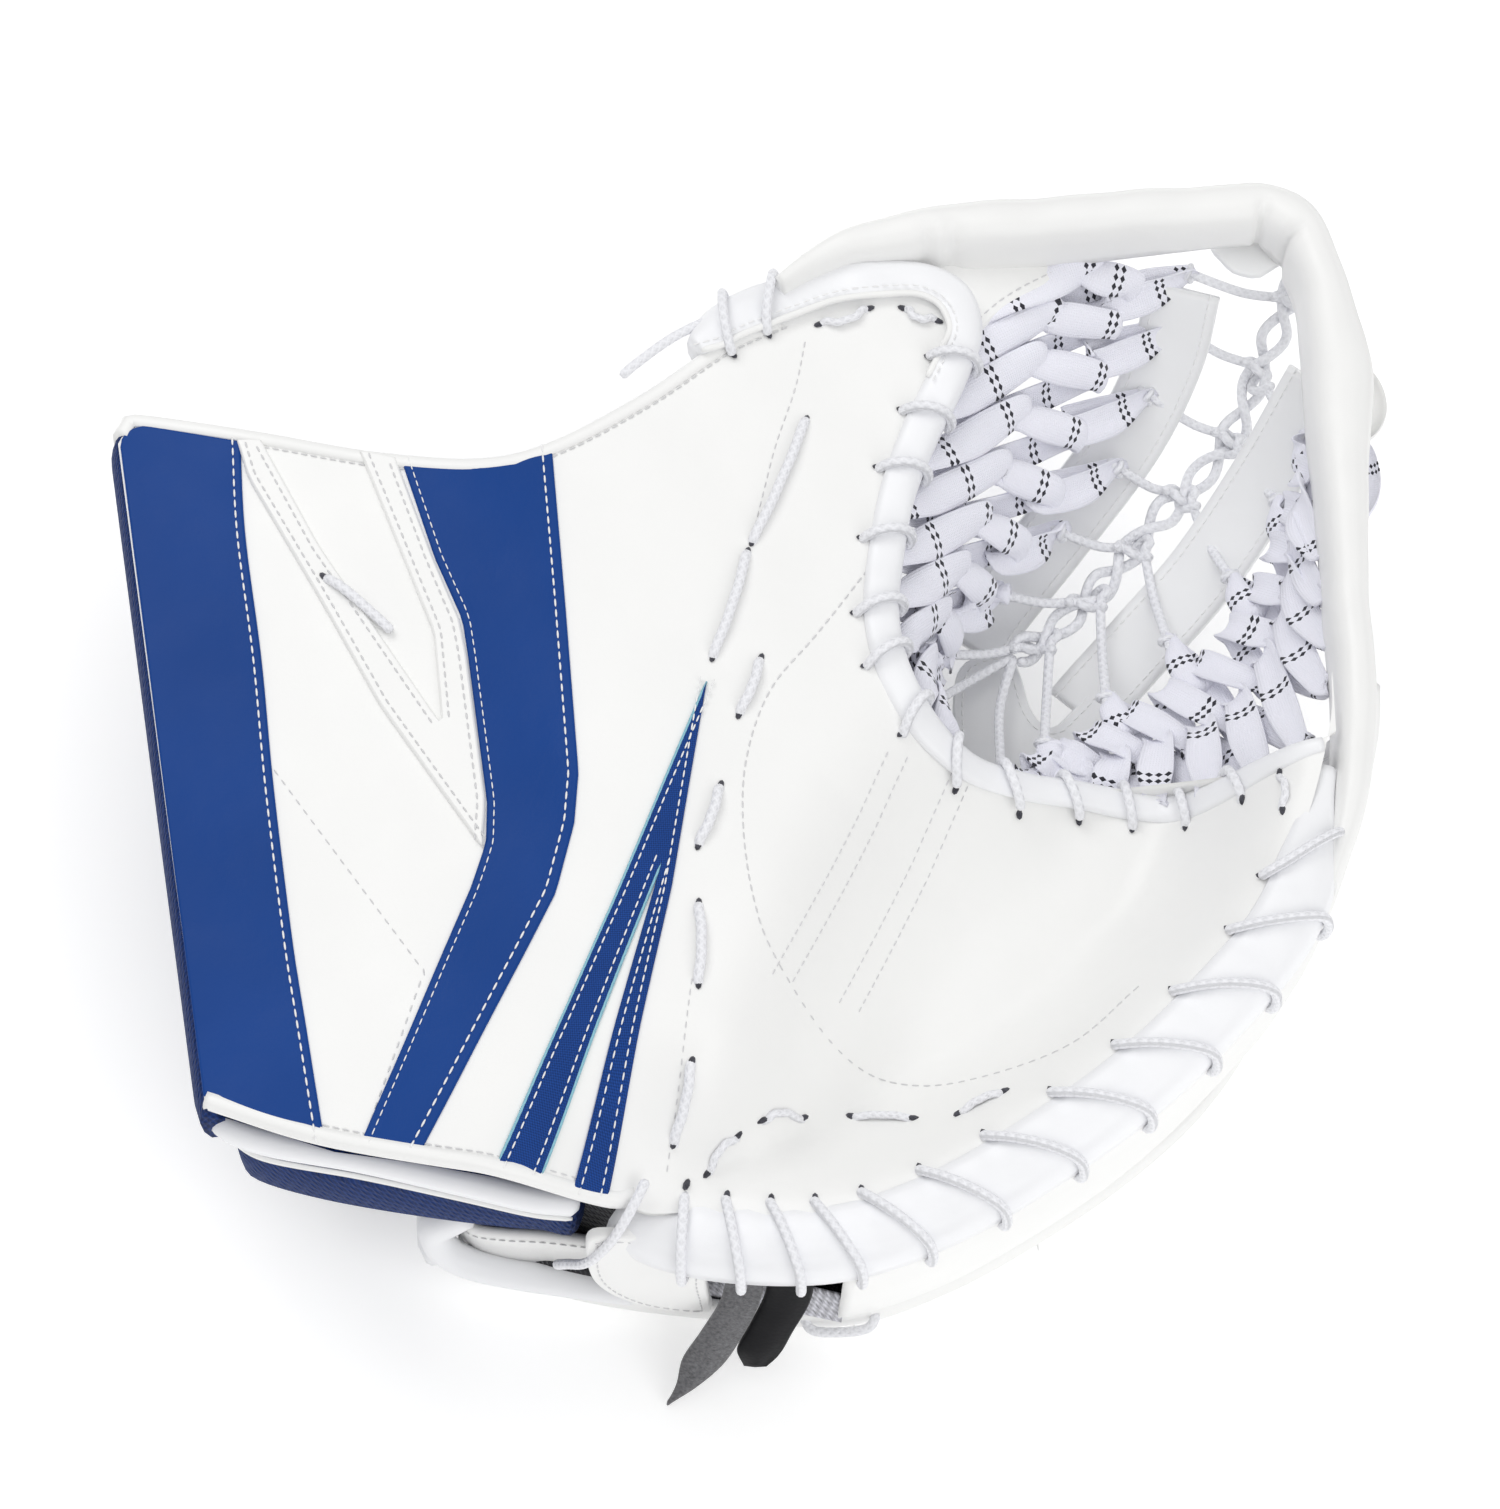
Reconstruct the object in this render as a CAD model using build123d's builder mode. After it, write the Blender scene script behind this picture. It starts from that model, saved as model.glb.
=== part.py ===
"""Goalie catch glove for the left hand, lying on its back with the palm and pocket facing up.

X runs from the cuff to the fingers, Y from the heel to the crown, Z up from the table.
The glove closes like a book about the break line, which runs from the heel to the crown.
"""
from build123d import *
from math import cos, radians, sin
import os

# ---- driving dimensions, mm --------------------------------------------------------------
BOARD_BACK = 92.0        # back face of the cuff and thumb board above the table
BOARD_FRONT = 118.0      # front face of the board
SKIN = 2.0               # board cover thickness
OVERLAY = 1.2            # sewn-on stripe thickness
EDGE_BINDING = 3.0       # binding on the cuff edges
THUMB_BINDING = 9.0      # wide binding on the thumb and the pocket edge
CORD = 3.0               # round lacing cord
LACE = 9.0               # flat pocket lace, width
LACE_THICK = 1.4
STRAP_WIDE = 24.0        # T strap
WALL = 15.0              # finger shell wall and its binding
PALM_FLOOR = 66.0        # lowest level of the palm surface
LINER_TOP = 22.0         # top of the backhand liner
ROLL_WIDE = 17.0
ROLL_LOW = 98.0
TOP_ROLL_HIGH = 130.0
RIGHT_ROLL_HIGH = 126.0
CLEAR = 0.3

# break line, where the glove folds
HEEL = Vector(-28, -160, 96)
CROWN = Vector(170, 157, 96)
FOLD = 35.0              # how far the thumb side closes, degrees
ALONG = (CROWN - HEEL).normalized()
ACROSS = Vector(ALONG.Y, -ALONG.X, 0)

# outline of the board, seen from the palm side
CUFF_TOP = [(-187, 87), (-151, 81), (-114, 74), (-83, 72), (-59, 79), (-34, 94), (-9, 113), (9, 123)]
THUMB_TOP = [(9, 123), (34, 127), (53, 122), (56, 108)]
POCKET_EDGE = [(56, 108), (49, 88), (41, 66), (37, 44), (35, 22), (39, 2)]
PALM_EDGE = [(39, 2), (14, -30), (-2, -75), (-14, -115), (-27, -150)]
CUFF_BOTTOM = [(-27, -150), (-42, -160), (-71, -157), (-120, -149), (-157, -137)]
CUFF_END = [(-157, -137), (-195, 80)]

# outer line of the finger side, from the pocket round the fingers to the heel
FINGER_EDGE = [(187, -15), (178, -50), (163, -83), (143, -107), (120, -129), (92, -149), (60, -167),
               (28, -177), (-5, -176), (-30, -169), (-40, -160)]


def rim_height(x):
    """Height of the finger shell's rim, low at the heel and high at the finger tips."""
    return 86 + 0.15 * (x + 40)


def rim_plane(drop):
    """The sloping plane of the finger shell's rim, lowered by drop."""
    return Plane(origin=(-40, 0, 86 - drop), x_dir=(1, 0, 0.15), z_dir=(-0.15, 0, 1))


def fold_plane(side):
    """Face of the wedge kept open at the crown, on the thumb (-1) or the finger (+1) side."""
    lean = radians(FOLD / 2 + 1)
    normal = ACROSS * cos(lean) - Vector(0, 0, side * sin(lean))
    return Plane(origin=HEEL + ACROSS * side * CLEAR, x_dir=ALONG, z_dir=normal)


def board_outline():
    """Face of the whole board outline."""
    with BuildSketch() as outline:
        with BuildLine():
            Spline(*CUFF_TOP)
            Spline(*THUMB_TOP)
            Spline(*POCKET_EDGE)
            Spline(*PALM_EDGE)
            Spline(*CUFF_BOTTOM)
            Line(*CUFF_END)
            Line(CUFF_END[1], CUFF_TOP[0])
        make_face()
    return outline.sketch


def finger_outline():
    """Face of the finger side, closed along the break line."""
    with BuildSketch() as outline:
        with BuildLine():
            Spline(*FINGER_EDGE)
            Polyline(FINGER_EDGE[-1], (-10, -130), (60, -18), FINGER_EDGE[0])
        make_face()
    return outline.sketch


def band(outline, lines, wide, mode):
    """Strip along some border lines of an outline: outside it (SUBTRACT) or inside (INTERSECT)."""
    with BuildSketch() as strip_face:
        for points in lines:
            with BuildLine() as border:
                Spline(*points)
            trace(border.line, line_width=2 * wide)
        add(outline, mode=mode)
    return strip_face.sketch


def slab(outline, low, high):
    """Straight extrusion of a sketch between two heights."""
    with BuildPart() as piece:
        with BuildSketch(Plane.XY.offset(low)):
            add(outline)
        extrude(amount=high - low)
    return piece


def overlay(points, thickness=OVERLAY):
    """A sewn-on stripe lying on the front of the board."""
    with BuildPart() as piece:
        with BuildSketch(Plane.XY.offset(BOARD_FRONT)):
            with BuildLine():
                Polyline(*points, close=True)
            make_face()
        extrude(amount=thickness)
    return piece


def strip(start, end, wide, thick):
    """A straight flat run of lace or strap between two points, its flat side up."""
    run = Vector(*end) - Vector(*start)
    side = Vector(-run.Y, run.X, 0).normalized()
    with BuildPart(mode=Mode.PRIVATE) as piece:
        with BuildSketch(Plane(origin=start, x_dir=side, z_dir=run)):
            Rectangle(wide, thick)
        extrude(amount=run.length)
    return piece.part


def arched_cord(start, top, end):
    """One stitch of round cord that leaves a hole, passes over a top point and goes down."""
    with BuildPart(mode=Mode.PRIVATE) as piece:
        with BuildLine() as path:
            ThreePointArc(start, top, end)
        with BuildSketch(Plane(origin=path.line @ 0, z_dir=path.line % 0)):
            Circle(CORD / 2)
        sweep()
    return piece.part


def bent_strap(start, end, profile):
    """A flat strap that runs straight in plan and follows (run, height) points on edge."""
    run = Vector(*end) - Vector(*start)
    upright = Plane(origin=(*start, 0), x_dir=(run.X, run.Y, 0), z_dir=(run.Y, -run.X, 0))
    under = [(s, z - 2.5) for s, z in reversed(profile)]
    with BuildPart() as piece:
        with BuildSketch(upright):
            with BuildLine():
                Polyline(*profile, *under, close=True)
            make_face()
        extrude(amount=STRAP_WIDE / 2, both=True)
    return piece


def arch(x, y_low, y_high, wide, base, top, thick):
    """A strap standing as a flat arch over the liner, open along X."""
    with BuildPart() as piece:
        with BuildSketch(Plane.YZ.offset(x)):
            with Locations(((y_low + y_high) / 2, base)):
                Rectangle(y_high - y_low, top - base, align=(Align.CENTER, Align.MIN))
                Rectangle(y_high - y_low - 2 * thick, top - base - thick,
                          align=(Align.CENTER, Align.MIN), mode=Mode.SUBTRACT)
        extrude(amount=wide)
    return piece


def pillow(centre_line, low, high, wide):
    """A padded roll: an upright band of the given width along a plan line, edges rounded."""
    with BuildPart() as piece:
        with BuildSketch(Plane.XY.offset(low)):
            with BuildLine() as line:
                Spline(*centre_line)
            trace(line.line, line_width=wide)
        extrude(amount=high - low)
    return piece


# ---- cuff and thumb board ----------------------------------------------------------------
BOARD = board_outline()
board_back_cover = slab(BOARD, BOARD_BACK, BOARD_BACK + SKIN)
board_core = slab(BOARD, BOARD_BACK + SKIN, BOARD_FRONT - SKIN)
board_cover = slab(BOARD, BOARD_FRONT - SKIN, BOARD_FRONT)

top_edge_binding = slab(band(BOARD, [CUFF_TOP], EDGE_BINDING, Mode.SUBTRACT), BOARD_BACK, BOARD_FRONT)
bottom_edge_binding = slab(band(BOARD, [CUFF_BOTTOM[1:]], EDGE_BINDING, Mode.SUBTRACT),
                           BOARD_BACK, BOARD_FRONT)
cuff_end_gusset = slab(band(BOARD, [CUFF_END], EDGE_BINDING + 1, Mode.SUBTRACT),
                       BOARD_BACK, BOARD_FRONT - 3)
thumb_edge_binding = slab(band(BOARD, [THUMB_TOP, POCKET_EDGE], THUMB_BINDING, Mode.SUBTRACT), 104, 121)

# ---- stripes sewn on the board -------------------------------------------------------------
cuff_band = overlay([(-194, 76), (-162, 76), (-152, 34), (-147, -17), (-140, -53), (-131, -97),
                     (-124, -144), (-154, -134)])
chevron_stripe = overlay([(-106, 69), (-91, 27), (-84, 8), (-77, -53), (-82, -69), (-111, -146),
                          (-94, -148), (-57, -72), (-51, -46), (-51, -33), (-55, 24), (-60, 74)])
spear_stripe = overlay([(-13, -7), (-22, -66), (-42, -157), (-51, -156), (-30, -66), (-34, -62),
                        (-61, -153), (-71, -152), (-42, -72)])
v_overlay = overlay([(-156, 76), (-135, 32), (-80, -59), (-78.5, -40), (-85.5, 8), (-92.5, 25),
                     (-108, 66), (-118, 70), (-98, 20), (-94, -16), (-130, 38), (-147, 78)], 1.8)

# ---- round cord on the board ---------------------------------------------------------------
CORD_LEVEL = BOARD_FRONT + CORD / 2 + 0.1
BOARD_STITCHES = [((17, 86), (1, 45)), ((-1, 40), (-11, 6)), ((3, 4), (-3, -13)), ((-9, -38), (-15, -56)),
                  ((-15, -76), (-15, -100)), ((-17, -124), (-22, -143))]
with BuildPart() as board_lacing:
    for (x0, y0), (x1, y1) in BOARD_STITCHES:
        middle = ((x0 + x1) / 2 + 1, (y0 + y1) / 2, CORD_LEVEL + 1)
        add(arched_cord((x0, y0, CORD_LEVEL), middle, (x1, y1, CORD_LEVEL)))

# cord wraps that hold the pocket edge binding to the thumb
with BuildLine(mode=Mode.PRIVATE) as pocket_line:
    Spline(*POCKET_EDGE)
WRAPS = 6
with BuildPart() as thumb_lacing:
    for i in range(WRAPS):
        spot = pocket_line.line @ ((i + 0.4) / WRAPS)
        run = pocket_line.line % ((i + 0.4) / WRAPS)
        out = Vector(-run.Y, run.X)
        hole = spot - out * 4
        far = spot + out * (THUMB_BINDING + 2.2)
        over = spot + out * 5
        add(arched_cord((hole.X, hole.Y, CORD_LEVEL + 0.5), (over.X, over.Y, 125.5), (far.X, far.Y, 112)))

# ---- palm ------------------------------------------------------------------------------------
# thumb slope: from the board's edge down to the break line
with BuildPart() as palm_slope:
    with BuildSketch(Plane.XZ.offset(12)):
        with BuildLine():
            Polyline((31, 118), (60, 97), (60, 92), (31, 110), close=True)
        make_face()
    with BuildSketch(Plane.XZ.offset(140)):
        with BuildLine():
            Polyline((-21, 114), (-18, 98), (-18, 94), (-21, 106), close=True)
        make_face()
    loft(ruled=True)

# finger bowl: from the break line down to the floor, then flat to the wall
FINGER = finger_outline()
with BuildPart() as palm_panel:
    with BuildSketch(Plane.XY.offset(PALM_FLOOR - 4)):
        add(FINGER)
        add(band(FINGER, [FINGER_EDGE], WALL + CLEAR, Mode.INTERSECT), mode=Mode.SUBTRACT)
        with BuildLine():
            Polyline((95, 0), (200, 0), (200, -200), (-2, -200), (-2, -150), (50, -95), close=True)
        make_face(mode=Mode.INTERSECT)
    extrude(amount=4)
    with BuildSketch(Plane.XZ.offset(22)):
        with BuildLine():
            Polyline((60, 89), (60, 93), (97, PALM_FLOOR), (97, PALM_FLOOR - 4), close=True)
        make_face()
    with BuildSketch(Plane.XZ.offset(140)):
        with BuildLine():
            Polyline((-12, 89), (-12, 93), (8, PALM_FLOOR), (8, PALM_FLOOR - 4), close=True)
        make_face()
    loft(ruled=True)

with BuildPart() as palm_felt:
    with BuildSketch(Plane.XY.offset(PALM_FLOOR - 7.5)):
        add(FINGER)
        add(band(FINGER, [FINGER_EDGE], WALL + 3, Mode.INTERSECT), mode=Mode.SUBTRACT)
        with BuildLine():
            Polyline((97, -30), (200, -30), (200, -200), (14, -200), (14, -140), (52, -95), close=True)
        make_face(mode=Mode.INTERSECT)
    extrude(amount=3)

# ---- finger shell ------------------------------------------------------------------------------
with BuildPart() as finger_wall:
    with BuildSketch(Plane.XY.offset(LINER_TOP + CLEAR)):
        add(band(FINGER, [FINGER_EDGE[:-3]], WALL, Mode.INTERSECT))
    extrude(amount=120)
    split(bisect_by=rim_plane(10 + CLEAR), keep=Keep.BOTTOM)
with BuildPart() as finger_edge_binding:
    with BuildSketch(Plane.XY.offset(50)):
        add(band(FINGER, [FINGER_EDGE], WALL, Mode.INTERSECT))
    extrude(amount=100)
    split(bisect_by=rim_plane(0), keep=Keep.BOTTOM)
    split(bisect_by=rim_plane(10), keep=Keep.TOP)

with BuildLine(mode=Mode.PRIVATE) as finger_line:
    Spline(*FINGER_EDGE)
RIM_WRAPS = 14
with BuildPart() as finger_lacing:
    for i in range(RIM_WRAPS):
        spot = finger_line.line @ ((i + 0.8) / (RIM_WRAPS + 1))
        run = finger_line.line % ((i + 0.8) / (RIM_WRAPS + 1))
        out = Vector(-run.Y, run.X)
        out = out if out.dot(spot - Vector(60, -60)) > 0 else -out
        rim = rim_height(spot.X)
        hole = spot - out * (WALL + 3)
        over = spot - out * (WALL / 2)
        far = spot + out * 3
        add(arched_cord((hole.X, hole.Y, rim - 4), (over.X, over.Y, rim + 6), (far.X, far.Y, rim - 4)))

# outline of the backhand pad that lies on the table
BACKHAND = [(-90, -146), (-60, -159), (-20, -166), (28, -169), (60, -159), (92, -141), (120, -121),
            (143, -99), (160, -72), (166, -40), (150, -8)]
with BuildSketch() as backhand_outline:
    with BuildLine():
        Spline(*BACKHAND)
        Spline(BACKHAND[-1], (100, 8), (0, 14), (-50, 4), (-90, -22))
        Line((-90, -22), BACKHAND[0])
    make_face()
with BuildPart() as backhand_shell:
    with BuildSketch():
        add(backhand_outline.sketch)
    extrude(amount=12)
    chamfer(backhand_shell.faces().sort_by(Axis.Z)[0].edges(), 5)
backhand_plate = slab(backhand_outline.sketch, 12, 15)
backhand_liner = slab(backhand_outline.sketch, 15, LINER_TOP)

# padded roll round the wrist end of the backhand
with BuildPart() as collar_roll:
    with BuildSketch(Plane.XZ.offset(30)):
        with Locations((-97.5, 20)):
            Circle(6.5)
    extrude(amount=116)
    fillet(collar_roll.edges(), 3)
with BuildPart() as collar_pad:
    with BuildSketch(Plane.XY.offset(LINER_TOP + CLEAR)):
        with BuildLine():
            Polyline((-88, -134), (-88, -145), (-60, -157), (-50, -158), (-50, -146), close=True)
        make_face()
    extrude(amount=20)

with BuildPart() as heel_tab:
    with BuildSketch(Plane.XZ.offset(170)):
        with BuildLine():
            Polyline((-44, 74), (-14, 74), (-14, 22), (-28, 18), (-40, 30), (-46, 52), close=True)
        make_face()
    extrude(amount=3)

# wall that closes the finger cavity towards the pocket
with BuildPart() as pocket_gusset:
    with BuildSketch(Plane.XZ.offset(12)):
        with BuildLine():
            Polyline((66, LINER_TOP + CLEAR), (150, LINER_TOP + CLEAR), (150, 61), (66, 61), close=True)
        make_face()
    extrude(amount=3)

# ---- padded rolls round the pocket ---------------------------------------------------------------
TOP_ROLL = [(16, 143), (30, 148), (48, 151), (78, 153.5), (125, 157), (150, 158.5), (170, 159)]
RIGHT_ROLL = [(168, 159), (177, 149), (181, 128), (182.5, 100), (182.5, 60), (181.5, 20), (178, -8)]
with BuildPart() as top_roll_core:
    add(pillow(TOP_ROLL[1:], ROLL_LOW + 7, TOP_ROLL_HIGH - 7, ROLL_WIDE - 9).part)
    split(bisect_by=fold_plane(-1).offset(-6), keep=Keep.BOTTOM)
with BuildPart() as right_roll_core:
    add(pillow(RIGHT_ROLL[1:-1], ROLL_LOW + 7, RIGHT_ROLL_HIGH - 7, ROLL_WIDE - 7).part)
    split(bisect_by=fold_plane(1).offset(6), keep=Keep.TOP)
with BuildPart() as top_roll:
    add(pillow(TOP_ROLL, ROLL_LOW, TOP_ROLL_HIGH, ROLL_WIDE).part)
    split(bisect_by=fold_plane(-1), keep=Keep.BOTTOM)
    add(top_roll_core.part, mode=Mode.SUBTRACT)
with BuildPart() as right_roll:
    add(pillow(RIGHT_ROLL, ROLL_LOW, RIGHT_ROLL_HIGH, ROLL_WIDE + 3).part)
    split(bisect_by=fold_plane(1), keep=Keep.TOP)
    add(right_roll_core.part, mode=Mode.SUBTRACT)

# ---- T straps and their base ----------------------------------------------------------------------
with BuildPart() as t_base:
    with BuildSketch(Plane.XY.offset(34)):
        with BuildLine():
            Polyline((68, -11), (66, 36), (82, 46), (90, 30), (98, 16), (120, 24), (128, -11), close=True)
        make_face()
    extrude(amount=4)
t_strap_thumb = bent_strap((76.5, 55.5), (138.5, 147.5), [(0, 38), (50, 38), (84, 50), (104, 74), (112, 97)])
t_strap_finger = bent_strap((115, 39), (180, 112), [(0, 38), (36, 38), (64, 48), (84, 68), (96, 97)])

# ---- pocket net ---------------------------------------------------------------------------------------
# thumb side laces, from the thumb edge and the top roll down to the chain
THUMB_LACES = [((72, 124, 102), (104, 118, 76), (122, 112, 62)), ((68, 104, 100), (92, 96, 70), (110, 92, 58)),
               ((64, 84, 99), (84, 76, 68), (98, 72, 57)), ((60, 64, 98), (74, 58, 68), (84, 56, 56)),
               ((56, 44, 98), (63, 40, 72), (70, 38, 55)), ((86, 141, 96.5), (107, 134, 84), (123, 127, 72)),
               ((116, 142, 96.5), (127, 137, 89), (134, 133, 83))]
with BuildPart() as thumb_net:
    for rim, bend, end in THUMB_LACES:
        gap = (Vector(*end) - Vector(*bend)).normalized() * 1.5
        add(strip(rim, bend, LACE, LACE_THICK))
        add(strip(Vector(*bend) + gap, end, LACE, LACE_THICK))

# finger side laces, from the right roll and the palm edge down to the chain
FINGER_LACES = [((175, 72, 95), (165, 74, 78), (156, 78, 68)), ((173, 48, 95), (158, 54, 74), (147, 60, 62)),
                ((170, 24, 93), (153, 34, 70), (138, 44, 58)), ((162, 0, 90), (143, 16, 66), (126, 28, 56)),
                ((142, -6, 80), (125, 6, 64), (112, 16, 54)), ((120, -6, 72), (109, 2, 62), (100, 8, 54)),
                ((175, 98, 95), (170, 98, 84), (164, 100, 76))]
with BuildPart() as finger_net:
    for rim, bend, end in FINGER_LACES:
        gap = (Vector(*end) - Vector(*bend)).normalized() * 1.5
        add(strip(rim, bend, LACE, LACE_THICK))
        add(strip(Vector(*bend) + gap, end, LACE, LACE_THICK))

# two strands of round cord knotted along the middle of the pocket
CHAIN = [(160, 138, 82), (150, 121, 70), (140, 103, 60), (128, 84, 54), (114, 68, 52), (100, 52, 52),
         (88, 38, 50)]
with BuildPart() as centre_chain:
    for (x0, y0, z0), (x1, y1, z1) in zip(CHAIN, CHAIN[1:]):
        for shift in (-3, 3):
            start = Vector(x0, y0, z0) + ACROSS * shift
            end = Vector(x1, y1, z1) + ACROSS * shift
            run = (end - start).normalized()
            with BuildSketch(Plane(origin=start + run, z_dir=run)):
                Circle(CORD / 2)
            extrude(amount=(end - start).length - 2)

# ---- inside the glove ------------------------------------------------------------------------------------
STALL_ROWS = (-126, -101, -76, -51)
with BuildPart() as finger_stalls:
    for y in STALL_ROWS:
        add(arch(66, y, y + 23, 18, LINER_TOP, 50, 2).part)
hand_strap = arch(0, -136, -44, 30, LINER_TOP, 55, 3)
wrist_strap = arch(-84, -132, -42, 25, LINER_TOP, 52, 2.5)
with BuildPart() as strap_ring:
    with BuildSketch(Plane.YZ.offset(-104.6)):
        with Locations((-90, 33)):
            Rectangle(46, 14)
            Rectangle(40, 8, mode=Mode.SUBTRACT)
    extrude(amount=3)
with BuildPart() as wrist_strap_tail:
    with BuildSketch(Plane.XY.offset(32)):
        with Locations((-104, -90)):
            RectangleRounded(44, 38, 4, align=(Align.MAX, Align.CENTER))
    extrude(amount=2)
    with BuildSketch(Plane.YZ.offset(-107)):
        with Locations((-90, 33)):
            Rectangle(36, 2)
    extrude(amount=6)
with BuildPart() as thumb_stall:
    with BuildSketch(Plane.XZ.offset(-40)):
        with Locations((5, BOARD_BACK)):
            Rectangle(32, 28, align=(Align.CENTER, Align.MAX))
            Rectangle(28, 26, align=(Align.CENTER, Align.MAX), mode=Mode.SUBTRACT)
    extrude(amount=24)

# wrist pad under the cuff and its white roll
with BuildPart() as wrist_pad:
    with BuildSketch(Plane.XY.offset(56)):
        with BuildLine():
            Polyline((-150, -136), (-50, -151), (-50, -70), (-150, -60), close=True)
        make_face()
    extrude(amount=19.7)
with BuildPart() as wrist_pad_roll:
    with BuildSketch(Plane(origin=(-156, -131, 82), z_dir=(108, -20, 0))):
        Circle(6)
    extrude(amount=108)
    fillet(wrist_pad_roll.edges(), 4)

# ---- black leather strap ends ---------------------------------------------------------------------------
def strap_end(root, tip, wide, point):
    """A flat leather strap end that hangs from its root and ends in a slanted point."""
    run = Vector(*tip) - Vector(*root)
    with BuildPart() as piece:
        with BuildSketch(Plane(origin=root, x_dir=run, z_dir=run.cross(Vector(1, 0, 0)))):
            with BuildLine():
                Polyline((0, -wide / 2), (run.length, -wide / 2), (run.length - point, wide / 2),
                         (0, wide / 2), close=True)
            make_face()
        extrude(amount=2)
    return piece


STRAP_ROOT_LONG = (-1.5, -169, 58)
STRAP_ROOT_SHORT = (13, -170, 57)
strap_end_long = strap_end(STRAP_ROOT_LONG, (-26, -191, 3), 13, 22)
strap_end_short = strap_end(STRAP_ROOT_SHORT, (1, -186, 13), 15, 8)

PIECES = {
    "board_back_cover": board_back_cover, "board_core": board_core, "board_cover": board_cover,
    "top_edge_binding": top_edge_binding, "bottom_edge_binding": bottom_edge_binding,
    "cuff_end_gusset": cuff_end_gusset, "thumb_edge_binding": thumb_edge_binding,
    "cuff_band": cuff_band, "chevron_stripe": chevron_stripe, "spear_stripe": spear_stripe,
    "v_overlay": v_overlay, "board_lacing": board_lacing, "thumb_lacing": thumb_lacing,
    "palm_slope": palm_slope, "palm_panel": palm_panel, "palm_felt": palm_felt,
    "finger_wall": finger_wall, "finger_edge_binding": finger_edge_binding,
    "finger_lacing": finger_lacing, "backhand_shell": backhand_shell,
    "backhand_plate": backhand_plate, "backhand_liner": backhand_liner,
    "collar_roll": collar_roll, "collar_pad": collar_pad, "heel_tab": heel_tab,
    "pocket_gusset": pocket_gusset, "top_roll": top_roll, "top_roll_core": top_roll_core,
    "right_roll": right_roll, "right_roll_core": right_roll_core, "t_base": t_base,
    "t_strap_thumb": t_strap_thumb, "t_strap_finger": t_strap_finger, "thumb_net": thumb_net,
    "finger_net": finger_net, "centre_chain": centre_chain, "finger_stalls": finger_stalls,
    "hand_strap": hand_strap, "wrist_strap": wrist_strap, "strap_ring": strap_ring,
    "wrist_strap_tail": wrist_strap_tail, "thumb_stall": thumb_stall, "wrist_pad": wrist_pad,
    "wrist_pad_roll": wrist_pad_roll, "strap_end_long": strap_end_long,
    "strap_end_short": strap_end_short,
}
os.makedirs("parts", exist_ok=True)
for name, piece in PIECES.items():
    piece.part.label = name
    export_step(piece.part, f"parts/{name}.step")
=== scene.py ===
"""Looks of the goalie catch glove: leather skins, bindings, lacing, net, straps and stitching."""
import math

import bpy
import numpy as np
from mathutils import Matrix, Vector, geometry


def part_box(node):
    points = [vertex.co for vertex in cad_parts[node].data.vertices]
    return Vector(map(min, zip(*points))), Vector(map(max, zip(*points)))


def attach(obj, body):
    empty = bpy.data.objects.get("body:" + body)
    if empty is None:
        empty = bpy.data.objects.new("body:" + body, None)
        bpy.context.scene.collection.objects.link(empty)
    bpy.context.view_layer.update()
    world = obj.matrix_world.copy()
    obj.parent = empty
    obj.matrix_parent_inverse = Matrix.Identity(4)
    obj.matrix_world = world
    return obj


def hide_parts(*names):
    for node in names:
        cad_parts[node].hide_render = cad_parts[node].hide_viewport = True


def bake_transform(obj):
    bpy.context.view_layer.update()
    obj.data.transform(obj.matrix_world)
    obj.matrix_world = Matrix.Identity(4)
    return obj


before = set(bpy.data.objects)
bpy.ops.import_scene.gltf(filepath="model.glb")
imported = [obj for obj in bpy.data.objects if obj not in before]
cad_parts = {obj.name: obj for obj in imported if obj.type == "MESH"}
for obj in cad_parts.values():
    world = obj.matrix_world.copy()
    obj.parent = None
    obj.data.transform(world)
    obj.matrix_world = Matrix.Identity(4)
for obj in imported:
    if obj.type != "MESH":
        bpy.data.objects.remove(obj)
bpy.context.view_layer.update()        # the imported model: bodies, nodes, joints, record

MM = 0.001

# ---- camera, first ---------------------------------------------------------------------
ELEVATION = math.radians(65)
DISTANCE = 1.4
AIM = Vector((0, 0, 0.060))
camera_data = bpy.data.cameras.new("camera")
camera_data.sensor_width = 36
camera_data.lens = 106.9
camera = bpy.data.objects.new("camera", camera_data)
camera.location = AIM + DISTANCE * Vector((0, -math.cos(ELEVATION), math.sin(ELEVATION)))
camera.rotation_euler = (math.pi / 2 - ELEVATION, 0, 0)
bpy.context.collection.objects.link(camera)
bpy.context.scene.camera = camera

# ---- levels and lines of the glove, mm -------------------------------------------------
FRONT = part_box("board_cover")[1].z / MM        # front of the cuff and thumb board
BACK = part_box("board_back_cover")[0].z / MM    # back of the board
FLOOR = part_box("palm_felt")[1].z / MM + 4.5    # lowest level of the palm leather
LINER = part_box("backhand_liner")[1].z / MM     # top of the backhand liner

CUFF_TOP = [(-187, 87), (-151, 81), (-114, 74), (-83, 72), (-59, 79), (-34, 94), (-9, 113), (9, 123)]
THUMB_TOP = [(9, 123), (25, 130), (40, 132), (54, 131.5), (61, 125), (62, 116), (57, 106)]
POCKET_EDGE = [(57, 106), (49, 88), (41, 66), (37, 44), (35, 22), (39, 2)]
POCKET_FOOT = [(39, 2), (47, -15), (63, -24), (83, -23), (102, -21), (121, -23), (142, -26), (160, -26),
               (175, -20)]
CUFF_BOTTOM = [(-42, -160), (-71, -157), (-120, -149), (-157, -137)]
SLOPE_LINE = [(60, 30), (39, 2), (14, -30), (-2, -75), (-14, -115), (-27, -150), (-36, -175)]
FINGER_EDGE = [(188, 0), (186.5, -18), (178, -50), (163, -83), (143, -107), (120, -129), (92, -149),
               (60, -167), (28, -177), (-5, -176), (-30, -169), (-40, -160)]
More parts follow.
